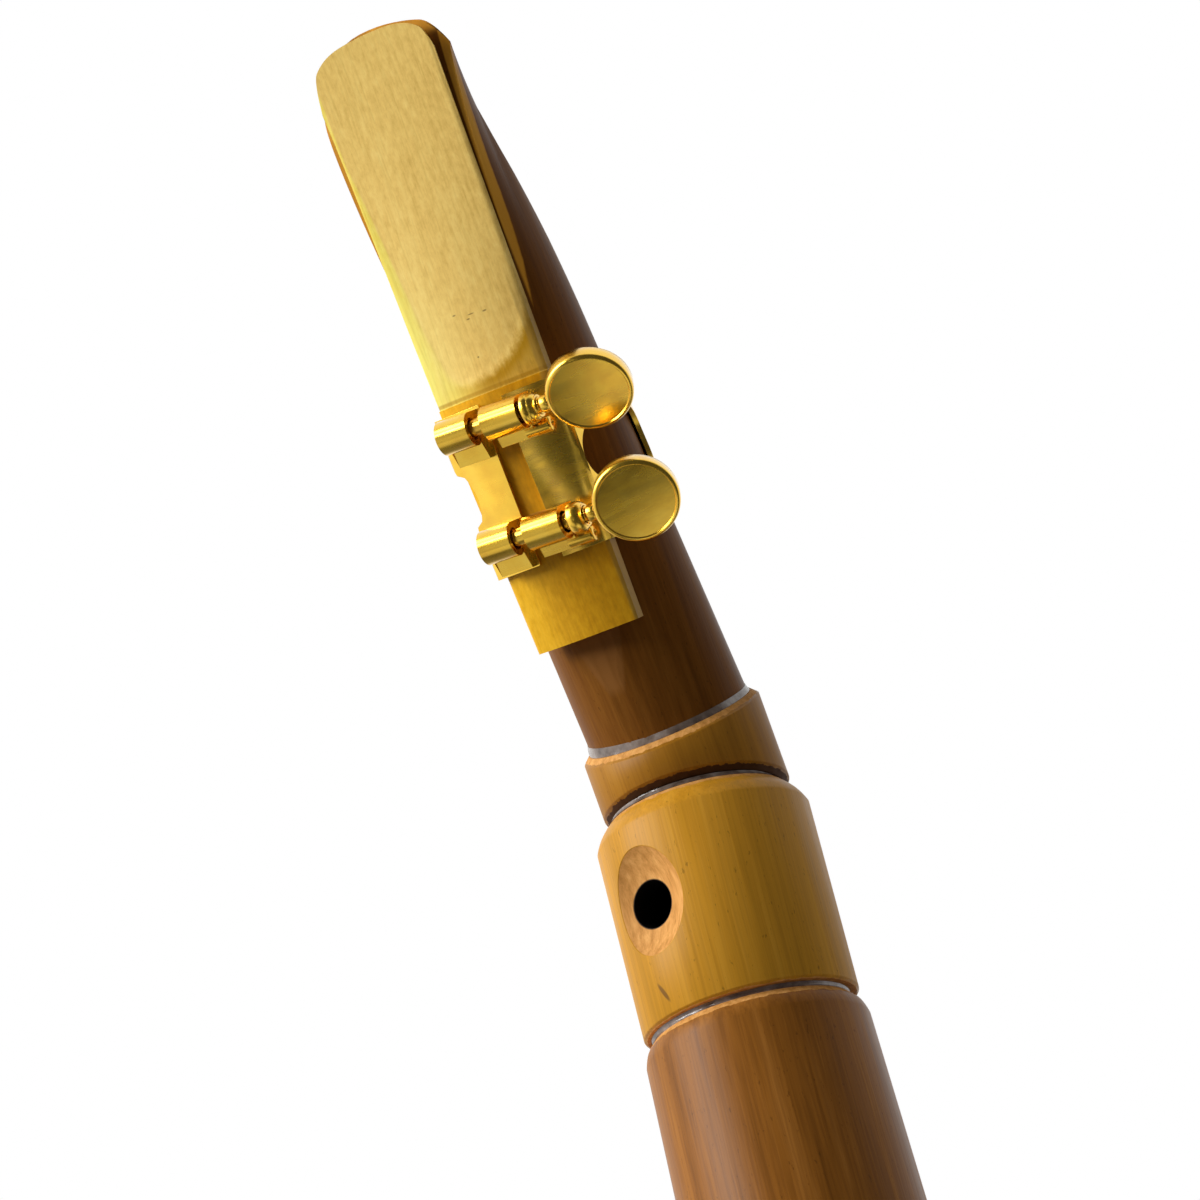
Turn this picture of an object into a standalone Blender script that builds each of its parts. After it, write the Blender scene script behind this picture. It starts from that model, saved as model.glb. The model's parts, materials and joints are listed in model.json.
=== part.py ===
"""Bamboo saxophone: a keyless conical instrument glued up from stepped bamboo tubes.

The neck carries a carved bamboo mouthpiece with an alto reed, held by a brass ligature with two
thumb screws. Sizes are in millimetres, and one millimetre is 0.001 Blender units. +Z runs up the
body, -Y is the player's side, which the reed faces, and +X is the side of the thumb screws.
The origin is where the right thumb holds the back of the body.
"""

import copy
import math

import bmesh
import bpy
from mathutils import Matrix, Vector

MM = 0.001

# Clearance between pieces that touch
GAP = 0.3

# Reed
REED_LENGTH = 72.5
REED_TIP_HALF_WIDTH = 7.9
REED_BUTT_HALF_WIDTH = 6.6
REED_THICKNESS = 3.0
REED_SIDE_HEIGHT = 1.65
REED_TIP_THICKNESS = 0.25
REED_TIP_ARC = 2.7
VAMP_LENGTH = 42.7
VAMP_STEP = 0.2
BARK_SHARES = (0.0, 0.34, 0.68)
VAMP_SHARES = (0.0, 0.15, 0.31, 0.47, 0.61, 0.75, 0.87, 1.0)
STEP_RUN = 0.4
REED_SHARES = (-1.0, -0.85, -0.6, -0.3, 0.0, 0.3, 0.6, 0.85, 1.0)

# Mouthpiece
SHANK_RADIUS = 9.62
SHANK_TAPER = 0.008
SHANK_BORE = 5.7
SHANK_END_BEVEL = 0.15
BUTT_TO_COLLAR = 13.5
TABLE_ABOVE_AXIS = 9.37
TABLE_INCLINE = math.radians(4.8)
REED_TURN = math.radians(7.5)
TIP_OVERHANG = 0.7
TIP_OPENING = 1.7
FACING_LENGTH = 24.0
BEAK_LENGTH = 42.0
BEAK_TIP_DEPTH = 1.1
BEAK_SIDE_RISE = 1.2
BLANK_EXTRA = 6.0
CUT_EXTRA = 3.0
WINDOW_LENGTH = 34.0
WINDOW_HALF_WIDTH = 5.6
TIP_RAIL = 1.6
BAFFLE_DEPTH = 5.6

# Ligature band
BAND_LOW = 8.9
BAND_WIDTH = 20.0
BAND_SHEET = 0.6
BAND_STANDOFF = 0.5
BAND_CORNER_DROP = 0.15
BAND_STEPS = 26
PLATE_SHARES = (0.0, 0.25, 0.5, 0.75, 0.92)
WINDOW_SIDES = 28
BAND_SLOT_LEFT = -1.37
BAND_SLOT_RIGHT = 1.72
WINDOW_MID = 10.2
BAND_WINDOW_HALF_LENGTH = 4.9
BAND_WINDOW_BOTTOM = -12.2
LEFT_WINDOW_TOP = 2.8
RIGHT_WINDOW_TOP = 2.0

# Ligature posts, collars and thumb screws
LOWER_SCREW_AT = 13.3
UPPER_SCREW_AT = 26.5
SCREW_SKEW = math.radians(-2.1)
SCREW_ABOVE_BAND = 2.4
BARREL_RADIUS = 1.9
FOOT_BUTT_SIDE = 3.3
FOOT_EDGE = 0.2
SCREW_RADIUS = 1.0
LEFT_POST_START = -5.95
LEFT_POST_LENGTH = 4.1
RIGHT_POST_START = 0.0
RIGHT_POST_LENGTH = 4.7
TOE_LENGTH = 2.1
TOE_WIDTH = 2.0
TOE_HEIGHT = 0.9
TOE_ROOT = 0.8
COLLAR_RING_LENGTH = 1.9
COLLAR_RING_RADIUS = 1.85
LOWER_COLLAR_LIFT = 0.5
NECK_LENGTH = 1.2
NECK_BEAD_RADIUS = 1.05
THUMB_DISC_RADIUS = 4.95
THUMB_DISC_THICKNESS = 2.2
DISC_SIDES = 36
# The disc's edge from its back to its front: depth as a share of half the thickness, radius as a share
DISC_PROFILE = ((-1.0, 0.8), (-0.75, 0.93), (-0.3, 1.0), (0.3, 1.0), (0.8, 0.96), (1.0, 0.91), (0.85, 0.86))
UPPER_DISC_TURN = math.radians(-31)
UPPER_DISC_BEND = math.radians(9.5)
LOWER_DISC_TURN = math.radians(-20.6)
LOWER_DISC_BEND = math.radians(15)

# Neck tubes
COLLAR_RADIUS = 10.9
COLLAR_LENGTH = 10.8
COLLAR_BORE = 6.6
NECK_TUBE_RADIUS = 12.55
NECK_TUBE_LENGTH = 26.3
NECK_TUBE_BORE = 8.2
MOUTHPIECE_BEND = math.radians(11.2)
COLLAR_BEND = math.radians(16.9)
COLLAR_SHIFT = 0.85
WEDGE_SLANT = math.radians(0.6)
THUMB_HOLE_BELOW_TOP = 12.8
THUMB_HOLE_AROUND = math.radians(-19.7)
THUMB_HOLE_RADIUS = 2.75
THUMB_DISH_RADIUS = 7.48
THUMB_DISH_DEPTH = 3.15

# Body tubes, from the neck down: name, length, outer radius at the top
CONE = 0.028
BODY_TUBES = (
    ("upper_body", 152.0, 13.05),
    ("middle_body", 150.0, 18.1),
    ("lower_body", 92.0, 23.1),
    ("bow_tube_1", 35.0, 26.6),
    ("bow_tube_2", 35.0, 28.2),
    ("bow_tube_3", 35.0, 29.8),
    ("bell_stem", 44.0, 31.4),
    ("bell", 60.0, 33.4),
)
BOW_BEND = math.radians(29)
STRAIGHT_TUBES = 3
WALL_AT_NECK = 4.4
WALL_AT_BELL = 5.6
BELL_FLARE = 4.0
BELL_FLARE_LENGTH = 22.0
NODE_SWELL = 0.8
NODE_HALF_LENGTH = 5.0
BODY_NODES = {"middle_body": 0.93, "lower_body": 0.55}

# Joints between tubes: a groove between two bevelled rims, with a bead of glue in it
JOINT_GAP = 0.7
RIM_BEVEL = 0.8
LOWER_RIM_BEVEL = 0.15
COLLAR_BEVEL = 0.6
RIM_ROUND = 0.2
BODY_SHOULDER = 0.6
BODY_SHOULDER_LENGTH = 1.6
NECK_BEVEL = 0.5
NECK_SHOULDER = 1.5
NECK_SHOULDER_LENGTH = 2.2
BELL_EDGE = 0.5
GLUE_CLEARANCE = 0.12
GLUE_RECESS = 0.35
GLUE_WIDTH = 1.6

# Finger holes on the front: tube, distance below its top, turn about the axis, radius
FINGER_HOLES = (
    ("upper_body", 44.0, 0.0, 4.2),
    ("upper_body", 75.0, 0.0, 4.6),
    ("upper_body", 108.0, 0.0, 4.4),
    ("middle_body", 30.0, 0.0, 5.0),
    ("middle_body", 62.0, 0.0, 5.4),
    ("middle_body", 94.0, 0.0, 5.2),
    ("lower_body", 22.0, 24.0, 4.6),
)
FINGER_DISH_SCALE = 2.6
FINGER_DISH_DEPTH = 1.3

# Where the right thumb holds the body, below the top of the middle tube
HOLD_BELOW_TOP = 62.0

# Where the one ring in the middle of a shoulder's quarter round lies, in degrees
SHOULDER_MIDDLE = 50.0

# Flat sides that stand in for a round wall: on the neck, on the wide tubes and round a hole
NECK_SIDES = 40
BODY_SIDES = 36
MOUTHPIECE_SIDES = 56
NARROW_RADIUS = 15.0
HOLE_SIDES = 25
SIDE = Vector((1.0, 0.0, 0.0))


def clear_scene():
    """Remove every object of the starting scene."""
    for item in list(bpy.data.objects):
        bpy.data.objects.remove(item, do_unlink=True)


def material(name, colour, roughness, metallic=0.0):
    """A Principled BSDF with the given values."""
    result = bpy.data.materials.new(name)
    result.use_nodes = True
    shader = result.node_tree.nodes["Principled BSDF"]
    shader.inputs["Base Color"].default_value = (*colour, 1.0)
    shader.inputs["Roughness"].default_value = roughness
    shader.inputs["Metallic"].default_value = metallic
    return result


def add_object(name, surface, mesh_builder, origin=None, smooth_angle=35.0):
    """Make one object from a filled bmesh, its vertices given in millimetres in the world."""
    origin = origin or Vector((0.0, 0.0, 0.0))
    bmesh.ops.recalc_face_normals(mesh_builder, faces=mesh_builder.faces)
    bmesh.ops.translate(mesh_builder, verts=mesh_builder.verts, vec=-origin)
    bmesh.ops.scale(mesh_builder, verts=mesh_builder.verts, vec=Vector((MM, MM, MM)))
    mesh = bpy.data.meshes.new(name)
    mesh_builder.to_mesh(mesh)
    mesh_builder.free()
    mesh.shade_smooth()
    mesh.set_sharp_from_angle(angle=math.radians(smooth_angle))
    result = bpy.data.objects.new(name, mesh)
    result.location = origin * MM
    bpy.context.scene.collection.objects.link(result)
    if surface:
        mesh.materials.append(surface)
    return result


def add_cutter(name, mesh_builder, target, operation="DIFFERENCE"):
    """Make a hidden object and let a Boolean modifier of the target use it."""
    cutter = add_object(name, None, mesh_builder)
    cutter.hide_render = True
    cutter.display_type = "WIRE"
    boolean = target.modifiers.new(name, "BOOLEAN")
    boolean.operation = operation
    boolean.solver = "EXACT"
    boolean.object = cutter
    return cutter


def bake(target):
    """Apply the target's modifiers and remove the objects that they used."""
    helpers = [m.object for m in target.modifiers]
    graph = bpy.context.evaluated_depsgraph_get()
    mesh = bpy.data.meshes.new_from_object(target.evaluated_get(graph))
    target.modifiers.clear()
    old = target.data
    target.data = mesh
    bpy.data.meshes.remove(old)
    mesh.name = target.name
    for helper in helpers:
        bpy.data.objects.remove(helper, do_unlink=True)


def loft(loops, closed_around=True, closed_along=False, capped=False):
    """Skin rows of points into a bmesh; closed_along joins the last row to the first."""
    builder = bmesh.new()
    rows = [[builder.verts.new(p) for p in row] for row in loops]
    pairs = list(zip(rows, rows[1:]))
    if closed_along:
        pairs.append((rows[-1], rows[0]))
    for first, second in pairs:
        count = len(first)
        for i in range(count if closed_around else count - 1):
            j = (i + 1) % count
            builder.faces.new((first[i], first[j], second[j], second[i]))
    if capped:
        builder.faces.new(rows[0])
        builder.faces.new(rows[-1])
    return builder


def prism(outline, place, start, end):
    """Extrude an outline of pairs between two depths; place turns (u, v, depth) into a point."""
    return loft([[place(u, v, depth) for u, v in outline] for depth in (start, end)], capped=True)


def heading(angle):
    """Direction down the bore: 0 is straight down, and it turns to the front."""
    return Vector((0.0, math.sin(angle), -math.cos(angle)))


def reed_side(angle):
    """Direction square to the bore, to the side that the reed faces."""
    return Vector((0.0, -math.cos(angle), -math.sin(angle)))


def ring(centre, angle, normal, radius, sides=NECK_SIDES):
    """Points where a round tube about the bore's direction meets the plane with this normal."""
    along = heading(angle)
    out = reed_side(angle)
    points = []
    for i in range(sides):
        turn = 2 * math.pi * i / sides
        spoke = SIDE * math.sin(turn) + out * math.cos(turn)
        shift = -radius * spoke.dot(normal) / along.dot(normal)
        points.append(centre + spoke * radius + along * shift)
    return points


def cylinder(start, direction, length, radius, sides=32, end_radius=None):
    """A closed cylinder or cone from a point along a direction."""
    end_radius = radius if end_radius is None else end_radius
    across = direction.orthogonal().normalized()
    other = direction.cross(across).normalized()
    rows = []
    for reach, size in ((0.0, radius), (length, end_radius)):
        centre = start + direction * reach
        turns = [2 * math.pi * i / sides for i in range(sides)]
        rows.append([centre + (across * math.cos(t) + other * math.sin(t)) * size for t in turns])
    return loft(rows, capped=True)


def lathe(profile, start, direction, sides=20):
    """Turn a profile of (distance along, radius) about an axis, with flat ends."""
    across = direction.orthogonal().normalized()
    other = direction.cross(across).normalized()
    turns = [2 * math.pi * i / sides for i in range(sides)]
    rows = []
    for reach, size in profile:
        centre = start + direction * reach
        rows.append([centre + (across * math.cos(t) + other * math.sin(t)) * size for t in turns])
    return loft(rows, capped=True)


def hole_cutter(mouth, out, radius, dish_radius, dish_depth, reach):
    """A turned cutter for a drilled hole whose mouth is dished like the inside of a ball."""
    ball = dish_radius - dish_depth
    start = -0.6 * ball
    stop = math.sqrt(dish_radius ** 2 - radius ** 2) - ball
    profile = []
    for i in range(6):
        depth = start + (stop - start) * (1 - (1 - i / 5) ** 1.6)
        profile.append((depth, math.sqrt(dish_radius ** 2 - (depth + ball) ** 2)))
    profile.append((reach, radius))
    return lathe(profile, mouth, -out, HOLE_SIDES)


class Tube:
    """One bamboo tube: its axis, radii, bores and the planes that cut its ends."""

    def __init__(self, name, top, angle, length, radii, bores):
        self.name = name
        self.top = top
        self.angle = angle
        self.length = length
        self.radii = radii
        self.bores = bores
        self.top_cut = angle
        self.bottom_cut = angle
        self.bevels = (RIM_BEVEL, LOWER_RIM_BEVEL)
        self.shoulder = (BODY_SHOULDER, BODY_SHOULDER_LENGTH)
        self.sides = NECK_SIDES if radii[0] < NARROW_RADIUS else BODY_SIDES

    def at(self, distance):
        """Point on the axis this far below the top."""
        return self.top + heading(self.angle) * distance

    def radius(self, distance):
        """Outer radius this far below the top."""
        share = distance / self.length
        return self.radii[0] + (self.radii[1] - self.radii[0]) * share

    def bottom(self):
        """Point on the axis at the bottom end."""
        return self.at(self.length)


def wall(radius):
    """Thickness of a body tube's wall, which grows with its radius."""
    share = (radius - NECK_TUBE_RADIUS) / (BODY_TUBES[-1][2] - NECK_TUBE_RADIUS)
    return WALL_AT_NECK + (WALL_AT_BELL - WALL_AT_NECK) * share


def body_tubes():
    """The body tubes in order, each starting where the last one ends."""
    above_hold = BODY_TUBES[0][1] + HOLD_BELOW_TOP
    hold_radius = BODY_TUBES[1][2] + CONE * HOLD_BELOW_TOP
    top = Vector((0.0, hold_radius, above_hold))
    angle = 0.0
    tubes = []
    for index, (name, length, radius) in enumerate(BODY_TUBES):
        if index >= STRAIGHT_TUBES:
            angle += BOW_BEND
        end_radius = radius + CONE * length
        bores = (radius - wall(radius), end_radius - wall(end_radius))
        tubes.append(Tube(name, top, angle, length, (radius, end_radius), bores))
        top = tubes[-1].bottom()
    return tubes


def neck_tubes(body_top):
    """The tube with the thumb hole and the wedge-cut collar above it."""
    neck = Tube(
        "neck_tube", body_top - heading(0.0) * NECK_TUBE_LENGTH, 0.0, NECK_TUBE_LENGTH,
        (NECK_TUBE_RADIUS, NECK_TUBE_RADIUS), (NECK_TUBE_BORE, NECK_TUBE_BORE),
    )
    neck.bevels = (NECK_BEVEL, LOWER_RIM_BEVEL)
    neck.shoulder = (NECK_SHOULDER, NECK_SHOULDER_LENGTH)
    seat = neck.top - reed_side(0.0) * COLLAR_SHIFT
    collar = Tube(
        "neck_collar", seat - heading(COLLAR_BEND) * COLLAR_LENGTH, COLLAR_BEND, COLLAR_LENGTH,
        (COLLAR_RADIUS, COLLAR_RADIUS), (COLLAR_BORE, COLLAR_BORE),
    )
    collar.bevels = (COLLAR_BEVEL, COLLAR_BEVEL)
    collar.shoulder = (RIM_ROUND, RIM_ROUND)
    return [collar, neck]


def cut_ends(collar, neck, body, mouthpiece_angle):
    """Set the planes of the tubes' ends: the collar is a wedge, and the bow's ends are mitred."""
    collar.top_cut = mouthpiece_angle
    collar.bottom_cut = -WEDGE_SLANT
    neck.top_cut = WEDGE_SLANT
    for upper, lower in zip(body, body[1:]):
        middle = (upper.angle + lower.angle) / 2
        upper.bottom_cut = middle
        lower.top_cut = middle


def rim_rings(tube, at_top, inner_radius):
    """Rings of one end, from the outer wall over its shoulder and the bevelled rim to the bore."""
    cut = heading(tube.top_cut if at_top else tube.bottom_cut)
    end = tube.at(JOINT_GAP / 2) if at_top else tube.at(tube.length - JOINT_GAP / 2)
    inward = heading(tube.angle) * (1.0 if at_top else -1.0)
    outer = tube.radii[0] if at_top else tube.radii[1]
    bevel = tube.bevels[0 if at_top else 1]
    rise, reach = tube.shoulder if at_top else (RIM_ROUND, RIM_ROUND)
    rim = outer - rise
    shape = [(outer, bevel + reach)]
    if reach > RIM_ROUND:
        turn = math.radians(SHOULDER_MIDDLE)
        shape.append((rim + rise * math.cos(turn), bevel + reach * (1 - math.sin(turn))))
    shape += [(rim, bevel), (rim - bevel, 0.0), (inner_radius, 0.0)]
    places = [(end + inward * inset, radius) for radius, inset in shape]
    return [ring(place, tube.angle, cut, radius, tube.sides) for place, radius in places]


def node_rings(tube):
    """Rings of the swelling where the bamboo had a node."""
    share = BODY_NODES.get(tube.name)
    if not share:
        return []
    rings = []
    for step, swell in ((-1.0, 0.0), (-0.35, 0.7), (0.0, 1.0), (0.3, 0.45), (1.0, 0.0)):
        distance = tube.length * share + step * NODE_HALF_LENGTH
        radius = tube.radius(distance) + swell * NODE_SWELL
        rings.append(ring(tube.at(distance), tube.angle, heading(tube.angle), radius, tube.sides))
    return rings


def bell_rings(tube):
    """Rings of the bell's flare and its rounded rim, which ends the instrument."""
    flare = ((0.0, 0.0), (0.4, 0.12), (0.7, 0.4), (0.9, 0.75), (1.0, 1.0))
    start = tube.length - BELL_FLARE_LENGTH
    square = heading(tube.angle)
    outer = []
    inner = []
    for share, rise in flare:
        distance = start + share * BELL_FLARE_LENGTH
        outer_radius = tube.radius(distance) + rise * BELL_FLARE
        inner_radius = tube.bores[1] + rise * BELL_FLARE
        outer.append(ring(tube.at(distance), tube.angle, square, outer_radius, tube.sides))
        inner.append(ring(tube.at(distance + BELL_EDGE), tube.angle, square, inner_radius, tube.sides))
    edge = tube.radius(tube.length) + BELL_FLARE - BELL_EDGE
    outer.append(ring(tube.at(tube.length + BELL_EDGE), tube.angle, square, edge, tube.sides))
    return outer, inner[::-1]


def add_tube(tube, surface):
    """Model one tube as a closed ring with rims, swellings and bore."""
    top = rim_rings(tube, True, tube.bores[0])
    if tube.name == "bell":
        flare, throat = bell_rings(tube)
        rows = top[::-1] + flare + throat
    else:
        bottom = rim_rings(tube, False, tube.bores[1])
        rows = top[::-1] + node_rings(tube) + bottom
    return add_object(tube.name, surface, loft(rows, closed_along=True))


def add_glue(name, upper, lower, surface):
    """The bead of glue that fills the groove between the rims of two tubes."""
    middle = (upper.bottom_cut + lower.top_cut) / 2
    outer = min(upper.radii[1], lower.radii[0]) - RIM_BEVEL - GLUE_RECESS
    inner = outer - GLUE_WIDTH
    half = JOINT_GAP / 2 - GLUE_CLEARANCE
    centre = (upper.bottom() + lower.top) / 2
    over = (centre - heading(middle) * half, heading(upper.bottom_cut))
    under = (centre + heading(middle) * half, heading(lower.top_cut))
    corners = ((over, inner), (over, outer), (under, outer), (under, inner))
    rows = [ring(place, middle, normal, radius, lower.sides) for (place, normal), radius in corners]
    return add_object(name, surface, loft(rows, closed_along=True))


def cut_hole(name, tube, target, distance, out, radius, dish):
    """Drill one dished hole through the tube's wall."""
    mouth = tube.at(distance) + out * tube.radius(distance)
    reach = tube.radius(distance) - tube.bores[0] + radius
    cutter = hole_cutter(mouth, out, radius, dish[0], dish[1], reach)
    add_cutter(name, cutter, target)


def cut_finger_holes(tube, target):
    """Drill the tube's finger holes through the front wall, each in a shallow dish."""
    holes = [h for h in FINGER_HOLES if h[0] == tube.name]
    for index, (_, distance, turn, radius) in enumerate(holes, 1):
        turn = math.radians(turn)
        out = SIDE * math.sin(turn) - reed_side(tube.angle) * math.cos(turn)
        dish = (radius * FINGER_DISH_SCALE, FINGER_DISH_DEPTH)
        cut_hole(f"{tube.name}_hole_{index}", tube, target, distance, out, radius, dish)
    if holes:
        bake(target)


def cut_thumb_hole(tube, target):
    """Drill the thumb hole in the back of the neck tube, in its deep oval dish."""
    out = SIDE * math.sin(THUMB_HOLE_AROUND) + reed_side(tube.angle) * math.cos(THUMB_HOLE_AROUND)
    dish = (THUMB_DISH_RADIUS, THUMB_DISH_DEPTH)
    cut_hole("thumb_hole", tube, target, THUMB_HOLE_BELOW_TOP, out, THUMB_HOLE_RADIUS, dish)
    bake(target)


class Table:
    """The flat of the mouthpiece that the reed lies on, with places given from the reed's butt."""

    def __init__(self, collar):
        self.angle = collar.angle + MOUTHPIECE_BEND
        down = heading(self.angle)
        turned = Matrix.Rotation(REED_TURN, 3, down)
        facing_out = turned @ reed_side(self.angle)
        self.joint = collar.top
        self.axis_point = collar.top - down * BUTT_TO_COLLAR
        self.side = turned @ SIDE
        self.towards_tip = -(down * math.cos(TABLE_INCLINE) + facing_out * math.sin(TABLE_INCLINE))
        self.out = facing_out * math.cos(TABLE_INCLINE) - down * math.sin(TABLE_INCLINE)
        self.butt = self.axis_point + facing_out * TABLE_ABOVE_AXIS

    def skewed(self, along):
        """The same table for a row of screws that stands a little askew at this distance."""
        row = copy.copy(self)
        turn = Matrix.Rotation(SCREW_SKEW, 3, self.out)
        row.side = turn @ self.side
        row.towards_tip = turn @ self.towards_tip
        row.butt = self.butt + (self.towards_tip - row.towards_tip) * along
        return row

    def point(self, along, across, above):
        """World point from a distance towards the tip, to the side and above the table."""
        return self.butt + self.towards_tip * along + self.side * across + self.out * above


def axis_below_table(along):
    """How far the tube's axis lies under the table at this distance from the butt."""
    return (TABLE_ABOVE_AXIS - along * math.sin(TABLE_INCLINE)) / math.cos(TABLE_INCLINE)


def shank_radius(along):
    """Outer radius of the mouthpiece at this distance from the butt towards the tip."""
    return SHANK_RADIUS - SHANK_TAPER * along


def reed_half_width(along):
    """Half the reed's width at this distance from the butt."""
    share = min(max(along / REED_LENGTH, 0.0), 1.0)
    return REED_BUTT_HALF_WIDTH + (REED_TIP_HALF_WIDTH - REED_BUTT_HALF_WIDTH) * share


def reed_top(along, across):
    """Height of the bark's round back above the table."""
    share = min(abs(across) / reed_half_width(along), 1.0)
    return REED_SIDE_HEIGHT + (REED_THICKNESS - REED_SIDE_HEIGHT) * (1 - share * share)


def vamp_top(along, across):
    """Height of the scraped vamp, thin at the tip and thicker along its heart."""
    from_tip = max(REED_LENGTH - along, 0.0)
    share = min(from_tip / VAMP_LENGTH, 1.0)
    heart = REED_TIP_THICKNESS + (REED_THICKNESS - VAMP_STEP - REED_TIP_THICKNESS) * share ** 1.45
    edge = REED_TIP_THICKNESS + (REED_SIDE_HEIGHT - VAMP_STEP - REED_TIP_THICKNESS) * share ** 1.7
    side_share = min(abs(across) / reed_half_width(along), 1.0)
    return edge + (heart - edge) * (1 - side_share ** 2)


def tip_arc(across, half_width):
    """How far the round tip falls back from its middle at this distance to the side."""
    radius = (half_width ** 2 + REED_TIP_ARC ** 2) / (2 * REED_TIP_ARC)
    return radius - math.sqrt(max(radius ** 2 - across ** 2, 0.0))


def add_reed(table, surface):
    """The cane reed: a flat underside, a round bark and a vamp that thins to a round tip."""
    shares = REED_SHARES
    step_at = REED_LENGTH - VAMP_LENGTH
    stations = [step_at * share for share in BARK_SHARES] + [step_at - STEP_RUN]
    stations += [step_at + VAMP_LENGTH * share for share in VAMP_SHARES]
    rows = []
    for station in stations:
        bark = station < step_at
        upper = []
        lower = []
        for share in shares:
            across = share * reed_half_width(station)
            fall = tip_arc(across, REED_TIP_HALF_WIDTH) * max(station - step_at, 0.0) / VAMP_LENGTH
            along = station - fall
            top = reed_top(along, across) if bark else vamp_top(along, across)
            upper.append(table.point(along, across, top))
            lower.append(table.point(along, across, 0.0))
        rows.append(upper + lower[::-1])
    builder = loft(rows)
    for row in (0, len(rows) - 1):
        corner = row * 2 * len(shares)
        builder.verts.ensure_lookup_table()
        for i in range(len(shares) - 1):
            last = corner + 2 * len(shares) - 1
            quad = (corner + i, corner + i + 1, last - i - 1, last - i)
            builder.faces.new([builder.verts[k] for k in quad])
    return add_object("reed", surface, builder, origin=table.butt)


def mouthpiece_body(table):
    """The round bamboo blank from the collar joint to past the tip, with its bevelled lower rim."""
    square = heading(table.angle)
    rows = []
    for along in (REED_LENGTH + BLANK_EXTRA, 0.0):
        centre = table.axis_point - square * along
        rows.append(ring(centre, table.angle, square, shank_radius(along), MOUTHPIECE_SIDES))
    end = table.joint - square * (JOINT_GAP / 2)
    radius = shank_radius(-BUTT_TO_COLLAR)
    for inset in (SHANK_END_BEVEL, 0.0):
        size = radius - SHANK_END_BEVEL + inset
        rows.append(ring(end - square * inset, table.angle, square, size, MOUTHPIECE_SIDES))
    return loft(rows, capped=True)


def facing(along):
    """Height of the mouthpiece's table, which curves away under the reed's tip."""
    start = REED_LENGTH - FACING_LENGTH
    share = max(along - start, 0.0) / FACING_LENGTH
    return -GAP - TIP_OPENING * share ** 2


def beak_back(along, across):
    """Height of the beak's scooped back, below the table; its sides rise a little."""
    from_tip = REED_LENGTH + TIP_OVERHANG - along
    share = min(max(from_tip / BEAK_LENGTH, 0.0), 1.15)
    deepest = table_to_back(REED_LENGTH - BEAK_LENGTH)
    tip_depth = GAP + TIP_OPENING + BEAK_TIP_DEPTH
    depth = tip_depth + (deepest - tip_depth) * (0.55 * share + 0.45 * share ** 3)
    rise = BEAK_SIDE_RISE * (across / SHANK_RADIUS) ** 2 * (1 - min(share, 1.0))
    return -depth + rise


def table_to_back(along):
    """Distance from the table to the far side of the round blank."""
    return axis_below_table(along) + shank_radius(along)


def cut_mouthpiece(table, target):
    """Cut the table, beak, tip, bore and window out of the blank."""
    wide = SHANK_RADIUS * 2
    over = REED_LENGTH + BLANK_EXTRA + CUT_EXTRA
    curve = [(-BUTT_TO_COLLAR, -GAP)] + [
        (x, facing(x)) for x in [REED_LENGTH - FACING_LENGTH * (1 - i / 6) for i in range(7)]
    ]
    outline = curve + [(over, facing(over)), (over, wide), (-BUTT_TO_COLLAR, wide)]
    add_cutter("table_cut", prism(outline, lambda u, v, d: table.point(u, d, v), -wide, wide), target)

    stations = [over - (BEAK_LENGTH * 1.15 + BLANK_EXTRA + CUT_EXTRA) * i / 14 for i in range(15)]
    sides = [wide * (i / 8 - 0.5) for i in range(9)]
    rows = []
    for along in stations:
        top = [table.point(along, across, beak_back(along, across)) for across in sides]
        corners = [table.point(along, across, -3 * wide) for across in (wide / 2, -wide / 2)]
        rows.append(top + corners)
    add_cutter("beak_cut", loft(rows, capped=True), target)

    end = REED_LENGTH + TIP_OVERHANG
    half = shank_radius(end)
    arc = [(end - tip_arc(x, half), x) for x in [half * 1.15 * (i / 8 - 1) for i in range(17)]]
    far = over + CUT_EXTRA
    aside = half * 1.6
    outline = [(arc[0][0], -aside)] + arc + [(arc[-1][0], aside), (far, aside), (far, -aside)]
    tip = prism(outline, lambda u, v, d: table.point(u, v, d), -2 * wide, wide)
    add_cutter("tip_cut", tip, target)

    outside = table.joint + heading(table.angle) * CUT_EXTRA
    bore_length = CUT_EXTRA + BUTT_TO_COLLAR + REED_LENGTH - WINDOW_LENGTH * 0.76
    bore = cylinder(outside, -heading(table.angle), bore_length, SHANK_BORE)
    add_cutter("bore_cut", bore, target)

    window_end = REED_LENGTH + TIP_OVERHANG - REED_TIP_ARC - TIP_RAIL
    window_start = window_end - WINDOW_LENGTH
    outline = [
        (window_start, wide / 2),
        (window_start, -BAFFLE_DEPTH),
        (window_start + WINDOW_LENGTH * 0.27, -BAFFLE_DEPTH * 1.1),
        (window_start + WINDOW_LENGTH * 0.6, -BAFFLE_DEPTH * 0.93),
        (window_end - WINDOW_LENGTH * 0.12, facing(window_end) - TIP_OPENING * 0.6),
        (window_end, facing(window_end) - TIP_OPENING * 0.25),
        (window_end, wide / 2),
    ]
    window = prism(outline, lambda u, v, d: table.point(u, d, v), -WINDOW_HALF_WIDTH, WINDOW_HALF_WIDTH)
    add_cutter("window_cut", window, target)
    bake(target)


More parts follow.
